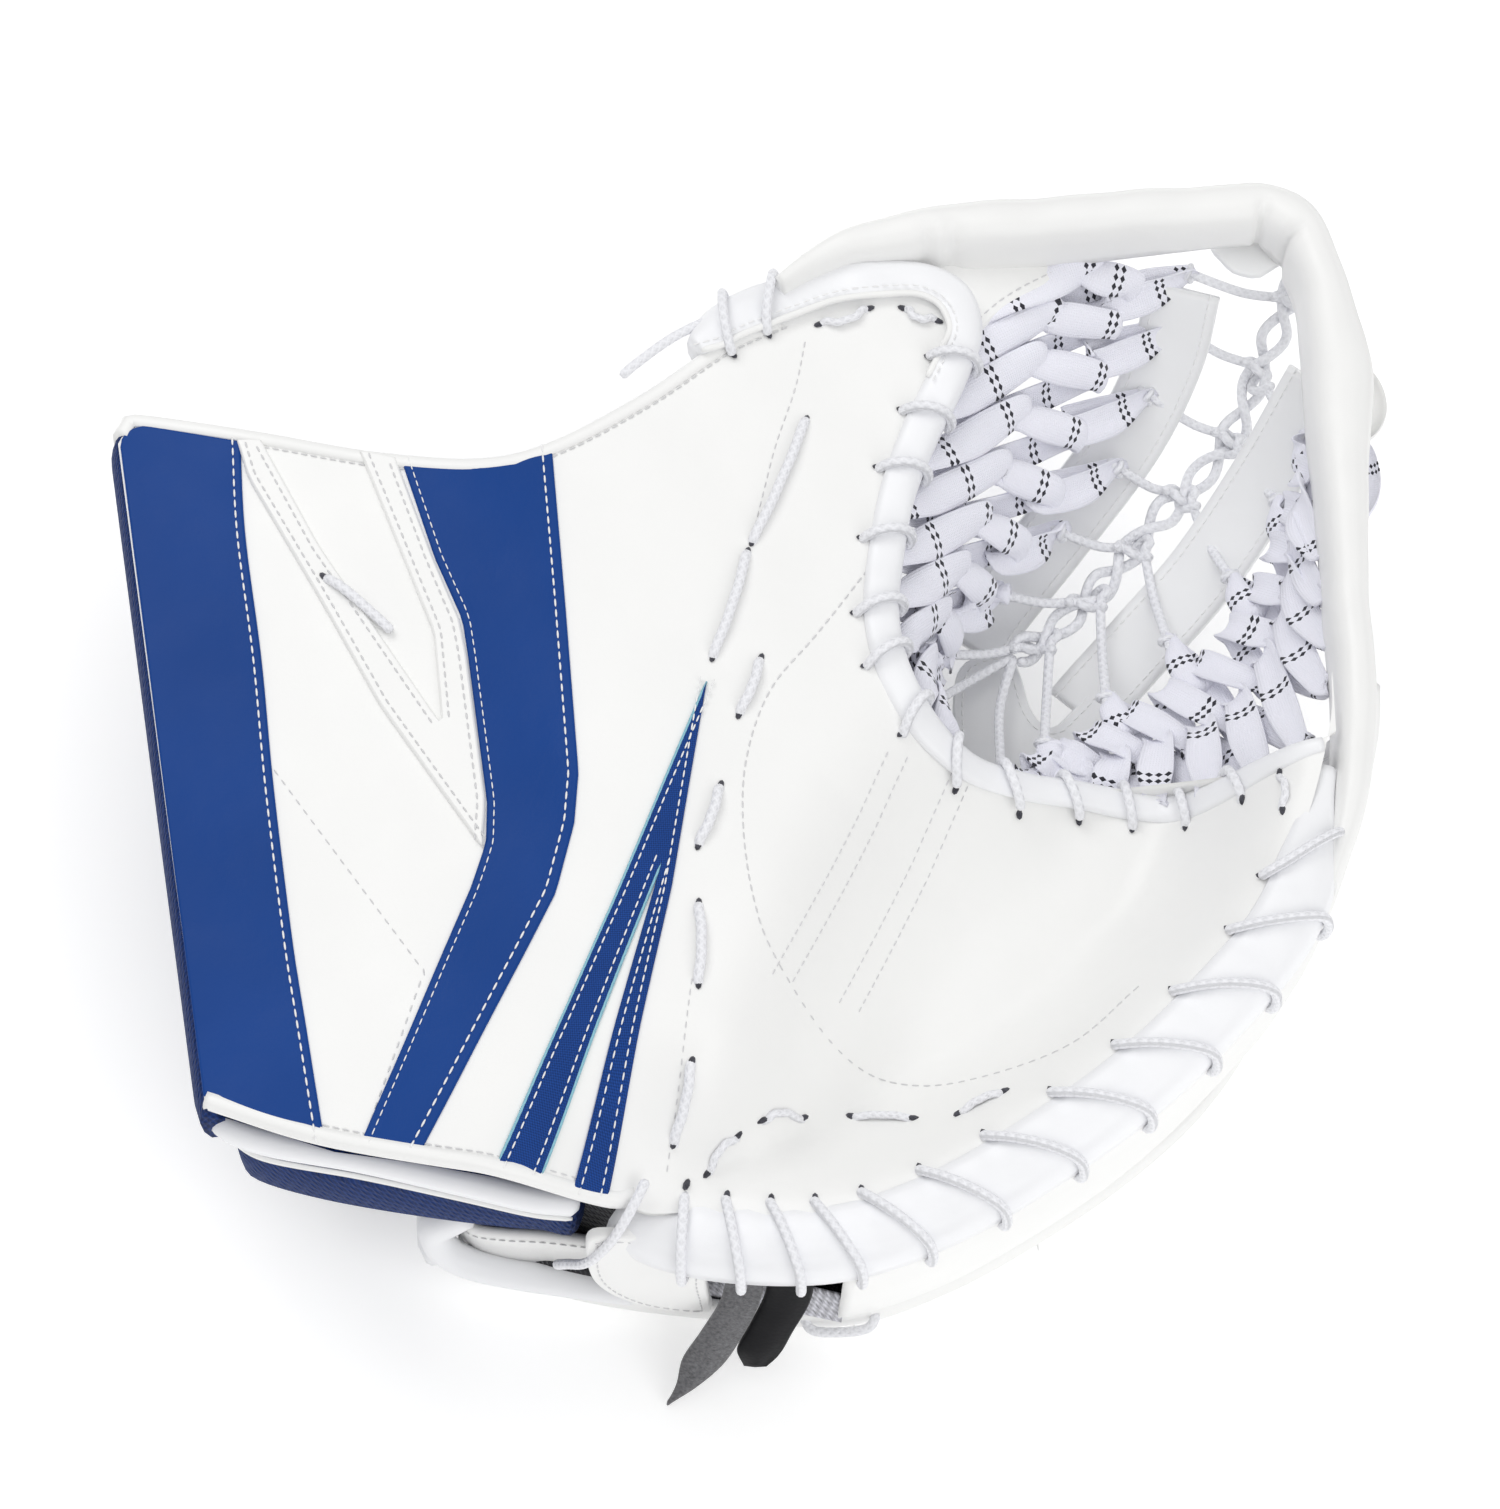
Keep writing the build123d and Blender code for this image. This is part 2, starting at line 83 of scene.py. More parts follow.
CUFF_CORNER = (-195, 80)                       # top corner of the cuff's end
BINDING = 15.0                                 # width of the finger edge binding
CORD = 1.55                                    # radius of the round lacing cord
THIN_CORD = 1.2                                # radius of the cord in the palm

LEATHER_FOLD = (24, 8)                         # fold sizes beside the break line, given to piece as fold
NET_FOLD = (30, 14)                            # the same for the net and what carries it


# ---- lines -----------------------------------------------------------------------------
def run_along(line):
    """Distance run along a line at each of its points."""
    return np.concatenate([[0], np.cumsum(np.linalg.norm(np.diff(line, axis=0), axis=1))])


def read(rows, run, at):
    """The row of values at one distance along a line."""
    return np.array([np.interp(at, run, column) for column in rows.T])


def unit(vector):
    """A vector's direction, 1 long."""
    vector = np.asarray(vector, float)
    return vector / np.linalg.norm(vector)


def units(rows):
    """The direction of each row, 1 long."""
    return rows / np.maximum(np.linalg.norm(rows, axis=1, keepdims=True), 1e-9)


def resample(line, step):
    """Evenly spaced points along a polyline, about step apart."""
    line = np.asarray(line, float)
    run = run_along(line)
    at = np.linspace(0, run[-1], max(2, int(round(run[-1] / step)) + 1))
    return np.column_stack([np.interp(at, run, line[:, k]) for k in range(line.shape[1])])


SPAN = 16                                      # points on each span of a smooth curve


def spline(points, closed=False):
    """The smooth curve through some points, SPAN points from each to the next."""
    p = np.array(points, float)
    if closed:
        ends = np.vstack([p[-1], p, p[0], p[1]])
    else:
        ends = np.vstack([2 * p[0] - p[1], p, 2 * p[-1] - p[-2]])
    t = np.linspace(0, 1, SPAN, endpoint=False)[:, None]
    spans = [b + 0.5 * ((c - a) * t + (2 * a - 5 * b + 4 * c - d) * t ** 2
                        + (3 * b - a - 3 * c + d) * t ** 3)
             for a, b, c, d in zip(ends, ends[1:], ends[2:], ends[3:])]
    return np.vstack(spans + [p[:1] if closed else p[-1:]])


def smooth(points, step=2.0, closed=False):
    """Even points on the smooth curve through some points."""
    return resample(spline(points, closed), step)


def tangents(line):
    """Unit direction of a line at each of its points."""
    return units(np.gradient(line, axis=0))


def shifted(line, out):
    """A plan line moved sideways, positive to the right of its direction."""
    run = tangents(line[:, :2])
    return line[:, :2] + np.column_stack([run[:, 1], -run[:, 0]]) * np.reshape(out, (-1, 1))


def ease(t):
    """Smooth step from 0 to 1."""
    t = np.clip(t, 0, 1)
    return t * t * (3 - 2 * t)


def side_distance(xy, line):
    """Distance of points from a polyline, positive to the left of its direction."""
    line = np.asarray(line, float)
    best = np.full(len(xy), 1e9)
    sign = np.ones(len(xy))
    for a, b in zip(line, line[1:]):
        run = b - a
        t = np.clip((xy - a) @ run / (run @ run), 0, 1)[:, None]
        gap = xy - (a + t * run)
        size = np.linalg.norm(gap, axis=1)
        cross = run[0] * (xy[:, 1] - a[1]) - run[1] * (xy[:, 0] - a[0])
        near = size < best
        best[near] = size[near]
        sign[near] = np.sign(cross[near])
    return best * sign


# ---- the leather surface from the cuff over the thumb and the palm to the fingers ------
def rim(x):
    """Height of the finger shell's rim."""
    return 86 + 0.15 * (np.asarray(x) + 40)


FINGER_STEP = 3.0
FINGER_LINE = smooth(FINGER_EDGE, FINGER_STEP)
INNER_RIM = shifted(FINGER_LINE, BINDING)


def height(xy):
    """Height of the front leather above the table."""
    xy = np.atleast_2d(np.asarray(xy, float))[:, :2]
    x, y = xy[:, 0], xy[:, 1]
    length = np.clip(80 + 0.27 * (y + 20), 42, 84)
    thumb = FRONT - (FRONT - FLOOR) * ease(side_distance(xy, SLOPE_LINE) / length)
    thumb -= 26 * ease(1 - np.hypot(x + 24, y + 166) / 58)
    thumb += 0.5 * np.sin(x / 23 + 0.6) * np.sin(y / 31) + 0.25 * np.sin(x / 9 + y / 13)
    top = rim(x) + 1
    finger = top - (top - FLOOR) * ease(-side_distance(xy, INNER_RIM) / 46)
    soft = 4.0
    return soft * np.logaddexp(thumb / soft, finger / soft)


def lifted(xy, lift=0.0):
    """Plan points put on the front leather, lifted off it."""
    xy = np.atleast_2d(np.asarray(xy, float))[:, :2]
    return np.column_stack([xy, height(xy) + lift])


# ---- meshes ----------------------------------------------------------------------------
class Bag:
    """Vertices, faces and UVs collected for one piece, in mm."""

    def __init__(self):
        self.verts, self.faces, self.uvs, self.count = [], [], [], 0

    def add(self, verts, faces, uvs=None):
        verts = np.asarray(verts, float)
        self.verts.append(verts)
        self.faces += [[i + self.count for i in face] for face in faces]
        self.uvs.append(np.zeros((len(verts), 2)) if uvs is None else np.asarray(uvs, float))
        self.count += len(verts)
        return self

    def cord(self, points, radius=CORD, step=0.9, sides=10):
        """Add a round cord along the smooth curve through some points."""
        return self.add(*tube(smooth(points, step), radius, sides))


def piece(name, bag, look, body, stands_for=(), fold=LEATHER_FOLD):
    """Make an object of a bag. A body of None leaves it in world space, its transform baked."""
    mesh = bpy.data.meshes.new(name)
    verts = np.vstack(bag.verts) * MM
    mesh.from_pydata(verts.tolist(), [], bag.faces)
    layer = mesh.uv_layers.new(name="UVMap")
    uvs = np.vstack(bag.uvs)
    loops = np.zeros(len(mesh.loops), int)
    mesh.loops.foreach_get("vertex_index", loops)
    layer.data.foreach_set("uv", uvs[loops].astype(np.float32).ravel())
    mesh.polygons.foreach_set("use_smooth", [True] * len(mesh.polygons))
    material, own_slot = LOOKS[look]
    mesh.materials.append(material)
    mesh.update()
    obj = bpy.data.objects.new(name, mesh)
    bpy.context.collection.objects.link(obj)
    if body:
        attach(obj, body)
    else:
        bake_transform(obj)
    if stands_for:
        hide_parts(*stands_for)
    return obj


def ring_faces(n, m):
    """Quads between n rings of m points each."""
    return [[k * m + i, k * m + (i + 1) % m, (k + 1) * m + (i + 1) % m, (k + 1) * m + i]
            for k in range(n - 1) for i in range(m)]


def solid_faces(n, m):
    """Quads between n rings of m points each, and the two flat ends."""
    return ring_faces(n, m) + [list(range(m))[::-1], list(range((n - 1) * m, n * m))]


def sweep(path, side, up, section):
    """Rings of a section (side, up) carried along a path: verts, faces and uvs."""
    path = np.asarray(path, float)
    n = len(path)
    section = np.asarray(section, float)
    if section.ndim == 2:
        section = np.repeat(section[None], n, axis=0)
    m = section.shape[1]
    verts = path[:, None] + section[..., :1] * side[:, None] + section[..., 1:] * up[:, None]
    uvs = np.column_stack([np.repeat(run_along(path), m), np.tile(np.arange(m) / m, n)])
    return verts.reshape(-1, 3), solid_faces(n, m), uvs


def carried_frame(path, up=(0, 0, 1)):
    """Side and up directions carried along a path without twist."""
    run = tangents(path)
    ups = np.zeros_like(run)
    current = np.array(up, float)
    for i, t in enumerate(run):
        current = current - t * (current @ t)
        if np.linalg.norm(current) < 1e-3:
            current = np.array([1.0, 0.3, 0.2]) - t * (t @ np.array([1.0, 0.3, 0.2]))
        current /= np.linalg.norm(current)
        ups[i] = current
    return np.cross(run, ups), ups


def round_section(radius, sides=10):
    a = np.arange(sides) * 2 * math.pi / sides
    return np.column_stack([np.cos(a), np.sin(a)]) * radius


def tube(path, radius, sides=10):
    """Round cord or piping along a path, with rounded ends."""
    side, up = carried_frame(path)
    scale = np.ones(len(path))
    scale[[0, -1]] = 0.55
    return sweep(path, side, up, round_section(radius, sides)[None] * scale[:, None, None])


def upright(path):
    """Level side (to the right) and vertical up directions along a path."""
    run = tangents(path[:, :2])
    side = np.column_stack([run[:, 1], -run[:, 0], np.zeros(len(run))])
    return side, np.tile([0.0, 0.0, 1.0], (len(run), 1))


def fill(outline, step):
    """Triangles inside a closed plan outline, with inner points on a grid."""
    outline = np.asarray(outline, float)
    low, high = outline.min(0), outline.max(0)
    gx, gy = np.meshgrid(np.arange(low[0], high[0], step), np.arange(low[1], high[1], step))
    gx[1::2] += step / 2
    grid = np.column_stack([gx.ravel(), gy.ravel()])
    grid = grid[inside(grid, outline)]
    gap = np.abs(side_distance(grid, np.vstack([outline, outline[:1]])))
    grid = grid[gap > step * 0.55]
    points = [Vector(p) for p in np.vstack([outline, grid])]
    ring = list(range(len(outline)))
    verts, _, faces, *_ = geometry.delaunay_2d_cdt(points, [], [ring], 1, 1e-4)
    verts = np.array([tuple(v) for v in verts])
    fixed = []
    for face in faces:
        a, b, c = (verts[i] for i in face[:3])
        turn = (b[0] - a[0]) * (c[1] - a[1]) - (b[1] - a[1]) * (c[0] - a[0])
        fixed.append(list(face) if turn > 0 else list(face)[::-1])
    return verts, fixed


def inside(points, outline):
    """Which points lie inside a closed outline."""
    x, y = points[:, 0], points[:, 1]
    odd = np.zeros(len(points), bool)
    for (x0, y0), (x1, y1) in zip(outline, np.roll(outline, -1, axis=0)):
        hit = (y0 > y) != (y1 > y)
        cross = (x1 - x0) * (y - y0) / (y1 - y0 if y1 != y0 else 1e-9) + x0
        odd ^= hit & (x < cross)
    return odd


def turns_left(outline):
    """Whether a closed outline runs counterclockwise."""
    x, y = outline[:, 0], outline[:, 1]
    return np.sum(x * np.roll(y, -1) - np.roll(x, -1) * y) > 0


def counterclockwise(outline):
    """A closed outline as an array that runs counterclockwise."""
    outline = np.asarray(outline, float)
    return outline if turns_left(outline) else outline[::-1]


def level(z):
    """A flat place at height z, for patch."""
    return lambda xy, lift: np.column_stack([xy[:, :2], z + lift + 0 * xy[:, 0]])


def as_given(points, lift):
    """The place of stitches whose line already lies where it should, in space."""
    return points


def patch(outline, thick, step=4.0, place=lifted, sink=0.6):
    """A sewn-on piece with rounded edges lying on a surface."""
    outline = counterclockwise(outline)
    ahead = np.roll(outline, -1, axis=0) - outline
    behind = outline - np.roll(outline, 1, axis=0)
    run = units(units(ahead) + units(behind))
    inward = np.column_stack([-run[:, 1], run[:, 0]])
    levels = [(0, -sink), (0, thick * 0.55), (0.25, thick * 0.85), (0.7, thick)]
    n = len(outline)
    bag = Bag()
    rings = [place(outline + inward * shift, lift) for shift, lift in levels]
    bag.add(np.vstack(rings), ring_faces(len(levels), n), np.vstack([outline] * len(levels)))
    flat, tris = fill(outline + inward * levels[-1][0], step)
    bag.add(place(flat, thick), tris, flat)
    bag.add(place(flat, -sink), [t[::-1] for t in tris], flat)
    return bag


def corners(points, step=3.0):
    """Straight-sided closed outline, resampled along each side."""
    points = np.asarray(points, float)
    sides = [resample([a, b], step)[:-1] for a, b in zip(points, np.roll(points, -1, axis=0))]
    return np.vstack(sides)


STITCH_RINGS = ((-1, 0.25), (-0.7, 0.8), (0, 1), (0.7, 0.8), (1, 0.25))
STITCH = np.array([(t, r * math.cos(a), r * math.sin(a)) for t, r in STITCH_RINGS
                   for a in np.arange(6) * math.pi / 3])
STITCH_FACES = solid_faces(len(STITCH_RINGS), 6)


def stitches(bag, line, place=lifted, pitch=3.6, length=2.7, radius=0.34, lift=0.15):
    """Thread stitches along a plan line on a surface."""
    spots = resample(line, pitch)
    run = tangents(spots)
    ends = place(spots + run[:, :spots.shape[1]] * length / 2, lift), place(spots - run * length / 2, lift)
    for a, b in zip(*ends):
        axis = unit(a - b)
        side = unit(np.cross(axis, (0, 0, 1)))
        up = np.cross(side, axis)
        verts = ((a + b) / 2 + STITCH[:, :1] * axis * length / 2 + STITCH[:, 1:2] * side * radius
                 + STITCH[:, 2:] * up * radius)
        bag.add(verts, STITCH_FACES)


def stitching(name, rows, look, body, fold=LEATHER_FOLD, **how):
    """A piece of thread stitched along some rows."""
    bag = Bag()
    for row in rows:
        stitches(bag, row, **how)
    piece(name, bag, look, body, fold=fold)


SEWN = {"pitch": 3.2, "length": 2.2, "radius": 0.28}       # the usual row of stitches
FINE = {"pitch": 3.0, "length": 2.2, "radius": 0.24}       # a finer one


# ---- materials -------------------------------------------------------------------------
PALE_SHINE, DARK_SHINE = 0.5, 0.1             # specular level of pale and dark materials


def new_material(name, color, rough, sheen=0.0):
    material = bpy.data.materials.new(name)
    material.use_nodes = True
    shader = material.node_tree.nodes["Principled BSDF"]
    shader.inputs["Base Color"].default_value = (*color, 1)
    shader.inputs["Roughness"].default_value = rough
    shader.inputs["Sheen Weight"].default_value = sheen
    shader.inputs["Specular IOR Level"].default_value = PALE_SHINE if sum(color) > 0.8 else DARK_SHINE
    return material, material.node_tree, shader


def node(tree, kind, **values):
    """A node with named inputs set, or linked where the value is a socket."""
    made = tree.nodes.new(kind)
    for key, value in values.items():
        if hasattr(made, key):
            setattr(made, key, value)
            continue
        numbered = key[0] == "i" and key[1:].isdigit()
        socket = made.inputs[int(key[1:]) if numbered else key.replace("_", " ")]
        if isinstance(value, bpy.types.NodeSocket):
            tree.links.new(value, socket)
        else:
            socket.default_value = value
    return made


def math_node(tree, operation, a, b=0.0):
    return node(tree, "ShaderNodeMath", operation=operation, i0=a, i1=b).outputs[0]


def finish_bump(tree, shader, heights):
    """Chain of bumps from (height socket, strength, distance in mm)."""
    normal = None
    for socket, strength, distance in heights:
        bump = node(tree, "ShaderNodeBump", Strength=strength, Distance=distance * MM, Height=socket)
        if normal:
            tree.links.new(normal, bump.inputs["Normal"])
        normal = bump.outputs[0]
    tree.links.new(normal, shader.inputs["Normal"])


def vary(tree, shader, position, color, amount, scale):
    """Slight colour variation over the surface."""
    spots = node(tree, "ShaderNodeTexNoise", Vector=position, Scale=scale, Detail=4.0).outputs["Fac"]
    ramp = node(tree, "ShaderNodeValToRGB", Fac=spots)
    ramp.color_ramp.elements[0].position = 0.3
    ramp.color_ramp.elements[1].position = 0.7
    ramp.color_ramp.elements[0].color = (*[c * (1 - amount) for c in color], 1)
    ramp.color_ramp.elements[1].color = (*color, 1)
    tree.links.new(ramp.outputs[0], shader.inputs["Base Color"])


def leather(name, color, rough=0.42, grain=1400, depth=0.12, folds=0.5, amount=0.035):
    """Coated leather: fine grain, soft folds and slight colour and gloss variation."""
    material, tree, shader = new_material(name, color, rough)
    position = node(tree, "ShaderNodeTexCoord").outputs["Object"]
    vary(tree, shader, position, color, amount, 14)
    cells = node(tree, "ShaderNodeTexVoronoi", Vector=position, Scale=grain).outputs["Distance"]
    pores = node(tree, "ShaderNodeTexNoise", Vector=position, Scale=grain * 0.5, Detail=3.0).outputs["Fac"]
    waves = node(tree, "ShaderNodeTexNoise", Vector=position, Scale=38.0, Detail=2.0).outputs["Fac"]
    gloss = node(tree, "ShaderNodeMapRange", Value=waves, From_Min=0.3, From_Max=0.7,
                 To_Min=rough - 0.05, To_Max=rough + 0.07).outputs[0]
    tree.links.new(gloss, shader.inputs["Roughness"])
    finish_bump(tree, shader, [(waves, folds, 1.2), (cells, depth, 0.12), (pores, depth, 0.10)])
    return material


def cloth(name, color, rough, pitch, depth, sheen=0.2, diagonal=False):
    """Woven cloth: crossed threads at a pitch in mm."""
    material, tree, shader = new_material(name, color, rough, sheen)
    position = node(tree, "ShaderNodeTexCoord").outputs["Object"]
    vary(tree, shader, position, color, 0.12, 60)
    turned = node(tree, "ShaderNodeMapping", Vector=position,
                  Rotation=(0.35, 0.2, 0.785 if diagonal else 0.1))
    split = node(tree, "ShaderNodeSeparateXYZ", Vector=turned.outputs[0])
    rate = 2 * math.pi / (pitch * MM)
    waves = [math_node(tree, "SINE", math_node(tree, "MULTIPLY", split.outputs[k], rate)) for k in range(2)]
    woven = math_node(tree, "MAXIMUM", *waves)
    knots = math_node(tree, "MULTIPLY", *waves)
    tint = node(tree, "ShaderNodeMix", data_type="RGBA", blend_type="MULTIPLY", Factor=1.0)
    shade = node(tree, "ShaderNodeMapRange", Value=knots, From_Min=-1.0, From_Max=1.0, To_Min=0.65,
                 To_Max=1.5)
    tree.links.new(shader.inputs["Base Color"].links[0].from_socket, tint.inputs[6])
    tree.links.new(shade.outputs[0], tint.inputs[7])
    tree.links.new(tint.outputs[2], shader.inputs["Base Color"])
    finish_bump(tree, shader, [(woven, depth, pitch * 0.25)])
    return material


def cord_look(name, color):
    """Round braided cord: crossing strands along the UV's length and round it."""
    material, tree, shader = new_material(name, color, 0.5, 0.15)
    uv = node(tree, "ShaderNodeSeparateXYZ", Vector=node(tree, "ShaderNodeTexCoord").outputs["UV"])
    along = math_node(tree, "MULTIPLY", uv.outputs[0], 2 * math.pi / 3.0)
    around = math_node(tree, "MULTIPLY", uv.outputs[1], 2 * math.pi * 4)
    strands = [math_node(tree, "SINE", math_node(tree, way, around, along)) for way in ("ADD", "SUBTRACT")]
    braid = math_node(tree, "MAXIMUM", *strands)
    shade = node(tree, "ShaderNodeMapRange", Value=braid, From_Min=-0.2, From_Max=1.0, To_Min=0.86,
                 To_Max=1.0)
    tint = node(tree, "ShaderNodeMix", data_type="RGBA", Factor=shade.outputs[0])
    tint.inputs[6].default_value = (*[c * 0.7 for c in color], 1)
    tint.inputs[7].default_value = (*color, 1)
    tree.links.new(tint.outputs[2], shader.inputs["Base Color"])
    finish_bump(tree, shader, [(braid, 0.6, 0.25)])
    return material


def lace_look():
    """Flat woven lace with double rows of dark ticks across it."""
    color = (0.90, 0.90, 0.98)
    material, tree, shader = new_material("flat_lace", color, 0.75, 0.25)
    uv = node(tree, "ShaderNodeSeparateXYZ", Vector=node(tree, "ShaderNodeTexCoord").outputs["UV"])
    along, over = uv.outputs[0], uv.outputs[1]
    period, ticks_apart = 27.0, 0.27           # mm along the lace, share of its width
    place = math_node(tree, "SUBTRACT", math_node(tree, "FLOORED_MODULO", along, period), period / 2)
    row = math_node(tree, "ABSOLUTE", math_node(tree, "SUBTRACT", math_node(tree, "ABSOLUTE", place), 1.1))
    column = math_node(tree, "SUBTRACT", math_node(tree, "FLOORED_MODULO", over, ticks_apart),
                       ticks_apart / 2)
    column = math_node(tree, "MULTIPLY", math_node(tree, "ABSOLUTE", column), 9.0)
    reach = math_node(tree, "ADD", math_node(tree, "MULTIPLY", row, 1.25),
                      math_node(tree, "MULTIPLY", column, 0.95))
    tick = math_node(tree, "LESS_THAN", reach, 1.0)
    tint = node(tree, "ShaderNodeMix", data_type="RGBA", Factor=tick)
    tint.inputs[6].default_value = (*color, 1)
    tint.inputs[7].default_value = (0.012, 0.012, 0.022, 1)
    tree.links.new(tint.outputs[2], shader.inputs["Base Color"])
    warp = math_node(tree, "SINE", math_node(tree, "MULTIPLY", over, 2 * math.pi * 13))
    weft = math_node(tree, "SINE", math_node(tree, "MULTIPLY", along, 2 * math.pi / 0.8))
    finish_bump(tree, shader, [(math_node(tree, "MAXIMUM", warp, weft), 0.5, 0.16)])
    return material


def suede(name, color):
    material, tree, shader = new_material(name, color, 0.95, 0.4)
    position = node(tree, "ShaderNodeTexCoord").outputs["Object"]
    fuzz = node(tree, "ShaderNodeTexNoise", Vector=position, Scale=1800.0, Detail=5.0).outputs["Fac"]
    vary(tree, shader, position, color, 0.55, 900)
    finish_bump(tree, shader, [(fuzz, 0.7, 0.3)])
    return material


WHITE = (0.925, 0.925, 0.915)
BLUE = (0.010, 0.058, 0.265)
LOOKS = {
    "leather": (leather("white_leather", WHITE), "white_leather"),
    "backing": (leather("backing_leather", (0.925, 0.93, 0.935), 0.5), "white_leather"),
    "rim": (leather("white_binding", (0.93, 0.935, 0.955), 0.36, folds=0.8), "white_binding"),
    "blue": (leather("blue_leather", BLUE, 0.34, 900, 0.2, amount=0.12), "blue_leather"),
    "twill": (cloth("blue_twill", (0.009, 0.050, 0.235), 0.5, 0.9, 0.5, 0.1, True), "blue_twill"),
    "nylon": (cloth("navy_nylon", (0.010, 0.030, 0.13), 0.6, 2.0, 0.6, 0.0, True), "navy_nylon"),
    "cord": (cord_look("round_cord", (0.90, 0.905, 0.94)), "round_cord"),
    "lace": (lace_look(), "flat_lace"),
    "thread": (cord_look("white_thread", (0.93, 0.93, 0.93)), "round_cord"),
    # fine thread: its grey is painted shade of the grooves the stitches sink into
    "fine": (cord_look("fine_thread_painted_groove_shade", (0.70, 0.70, 0.71)), "round_cord"),
    "mesh": (cloth("heel_mesh", (0.62, 0.62, 0.68), 0.7, 2.2, 0.9), "inner_strap"),
    "teal": (cord_look("pale_blue_thread", (0.30, 0.62, 0.74)), "round_cord"),
    # dark ovals on the lacing holes: painted shade inside the holes
    "hole": (suede("hole_shadow", (0.09, 0.09, 0.11)), "liner_felt"),
    "felt": (cloth("liner_felt", (0.03, 0.03, 0.035), 0.9, 1.4, 0.7, 0.3), "liner_felt"),
    "web": (cloth("nylon_web", (0.03, 0.03, 0.04), 0.6, 1.6, 0.8, 0.1), "nylon_web"),
    "lining": (leather("inner_strap", (0.05, 0.05, 0.055), 0.6, 900, 0.3), "inner_strap"),
    "black": (leather("black_leather", (0.008, 0.008, 0.010), 0.4, 800, 0.25, amount=0.3), "black_leather"),
    "suede": (suede("grey_suede", (0.165, 0.165, 0.175)), "black_leather"),
    "plastic": (leather("black_plastic", (0.02, 0.02, 0.02), 0.35, 500, 0.1), "black_plastic"),
}

# ---- front leather ---------------------------------------------------------------------
cuff_top = smooth(CUFF_TOP)
thumb_top = smooth(THUMB_TOP)
pocket_edge = smooth(POCKET_EDGE)
pocket_foot = smooth(POCKET_FOOT)
cuff_bottom = smooth(CUFF_BOTTOM)
cuff_end = resample([CUFF_BOTTOM[-1], CUFF_CORNER, CUFF_TOP[0]], 3.0)
rim_left = np.arange(len(FINGER_LINE))[::-1] * FINGER_STEP
under_rim = shifted(FINGER_LINE, 3 + (BINDING - 5) * ease(rim_left / 30))
outline = np.vstack([cuff_top[:-1], thumb_top[:-1], pocket_edge[:-1], pocket_foot, under_rim, cuff_bottom,
                     cuff_end[1:-1]])
flat, faces = fill(outline[::-1], 2.6)
skin = Bag().add(lifted(flat), faces, flat)
skin.add(lifted(flat, -1.6), [f[::-1] for f in faces], flat)
piece("front_leather", skin, "leather", None, ("board_cover", "palm_slope", "palm_panel"))

# ---- board sides, edges and back -------------------------------------------------------
EDGE = [(-3.0, 0.1), (-2.7, 0.9), (-0.6, 1.1), (1.1, 0.6), (2.3, -1.4), (2.8, -6), (2.8, -18), (1.6, -24),
        (-2, -26), (-3, -14)]
THIN_EDGE = [(-3.0, 0.1), (-2.7, 0.9), (-0.6, 1.2), (0.9, 0.7), (1.7, -0.8), (1.7, -2.6), (0.6, -4.2),
             (-2, -4.6), (-3, -2)]
GUSSET = [(-2.5, -0.4), (-0.6, -0.2), (0.8, -1.8), (2.2, -5), (3.4, -11), (3.0, -18), (1.4, -24), (-2, -26),
          (-4, -12)]


def edge_band(line, section):
    """A band wrapped over an edge of the board; the line runs clockwise seen from above."""
    path = lifted(line)
    side, up = upright(path)
    return sweep(path, -side, up, section)


binding = Bag().add(*edge_band(smooth([(-194.6, 82), (-192.8, 85.6), (-188, 87.5), *CUFF_TOP[1:]]), EDGE))
THUMB_SIDE = [(-1.5, -0.6), (0.5, -0.5), (2.3, -1.8), (2.8, -6), (2.8, -18), (1.6, -24), (-2, -26), (-3, -14)]
binding.add(*edge_band(smooth([CUFF_TOP[-2], *THUMB_TOP, *POCKET_EDGE[1:]]), THUMB_SIDE))
piece("cuff_top_binding", binding, "leather", "thumb_cuff", ("top_edge_binding",))
binding = Bag().add(*edge_band(smooth([(-33, -158), *CUFF_BOTTOM]), THIN_EDGE))
piece("cuff_bottom_binding", binding, "leather", None, ("bottom_edge_binding",))
gusset = Bag().add(*edge_band(resample([(-156, -139), (-158, -133), (-195, 79), (-193.4, 85.2)], 3.0),
                              GUSSET))
piece("cuff_end_side", gusset, "nylon", "thumb_cuff", ("cuff_end_gusset",))
back_flat, back_faces = fill(corners([*CUFF_BOTTOM, CUFF_CORNER, *CUFF_TOP, *THUMB_TOP[1:], *POCKET_EDGE[1:],
                                      *SLOPE_LINE[2:5]], 6.0)[::-1], 6.0)
puff = BACK + 0.4 + 0.6 * np.sin(back_flat[:, 0] / 9) * np.sin(back_flat[:, 1] / 9)
puff += 16 * (1 - ease(np.abs(side_distance(back_flat, CUFF_BOTTOM)) / 26))
puff = np.minimum(puff, height(back_flat) - 8)
back = Bag().add(np.column_stack([back_flat, puff]), [f[::-1] for f in back_faces], back_flat)
back.add(np.column_stack([back_flat, puff + 3]), back_faces, back_flat)
piece("board_back", back, "nylon", None, ("board_back_cover", "board_core"))

# ---- stripes sewn on the board ---------------------------------------------------------
CUFF_SEAM = [(-157, 79), (-154, 47), (-147, 4), (-141.5, -38), (-134, -86), (-128.5, -115), (-122, -149)]
CHEVRON_LEFT = [(-107, 72), (-96, 39), (-87, 18), (-85, 6), (-78, -43), (-78, -56), (-82, -70), (-111, -149)]
CHEVRON_RIGHT = [(-61, 77), (-56, 24), (-51, -33), (-52, -50), (-57, -72), (-94, -152)]
SPEAR_LEFT = [(-72, -155), (-40, -75), (-13, -3)]
SPEAR_RIGHT = [(-13, -3), (-23, -70), (-41, -159)]
SPEAR_SLOT = [(-60, -157), (-26, -62), (-51, -159)]
V_OUTER = [(-158, 79), (-154, 66), (-129, 22), (-111, -11), (-79, -58), (-78.4, -43), (-85.4, 6), (-87.6, 17),
           (-96.6, 39), (-109, 73)]
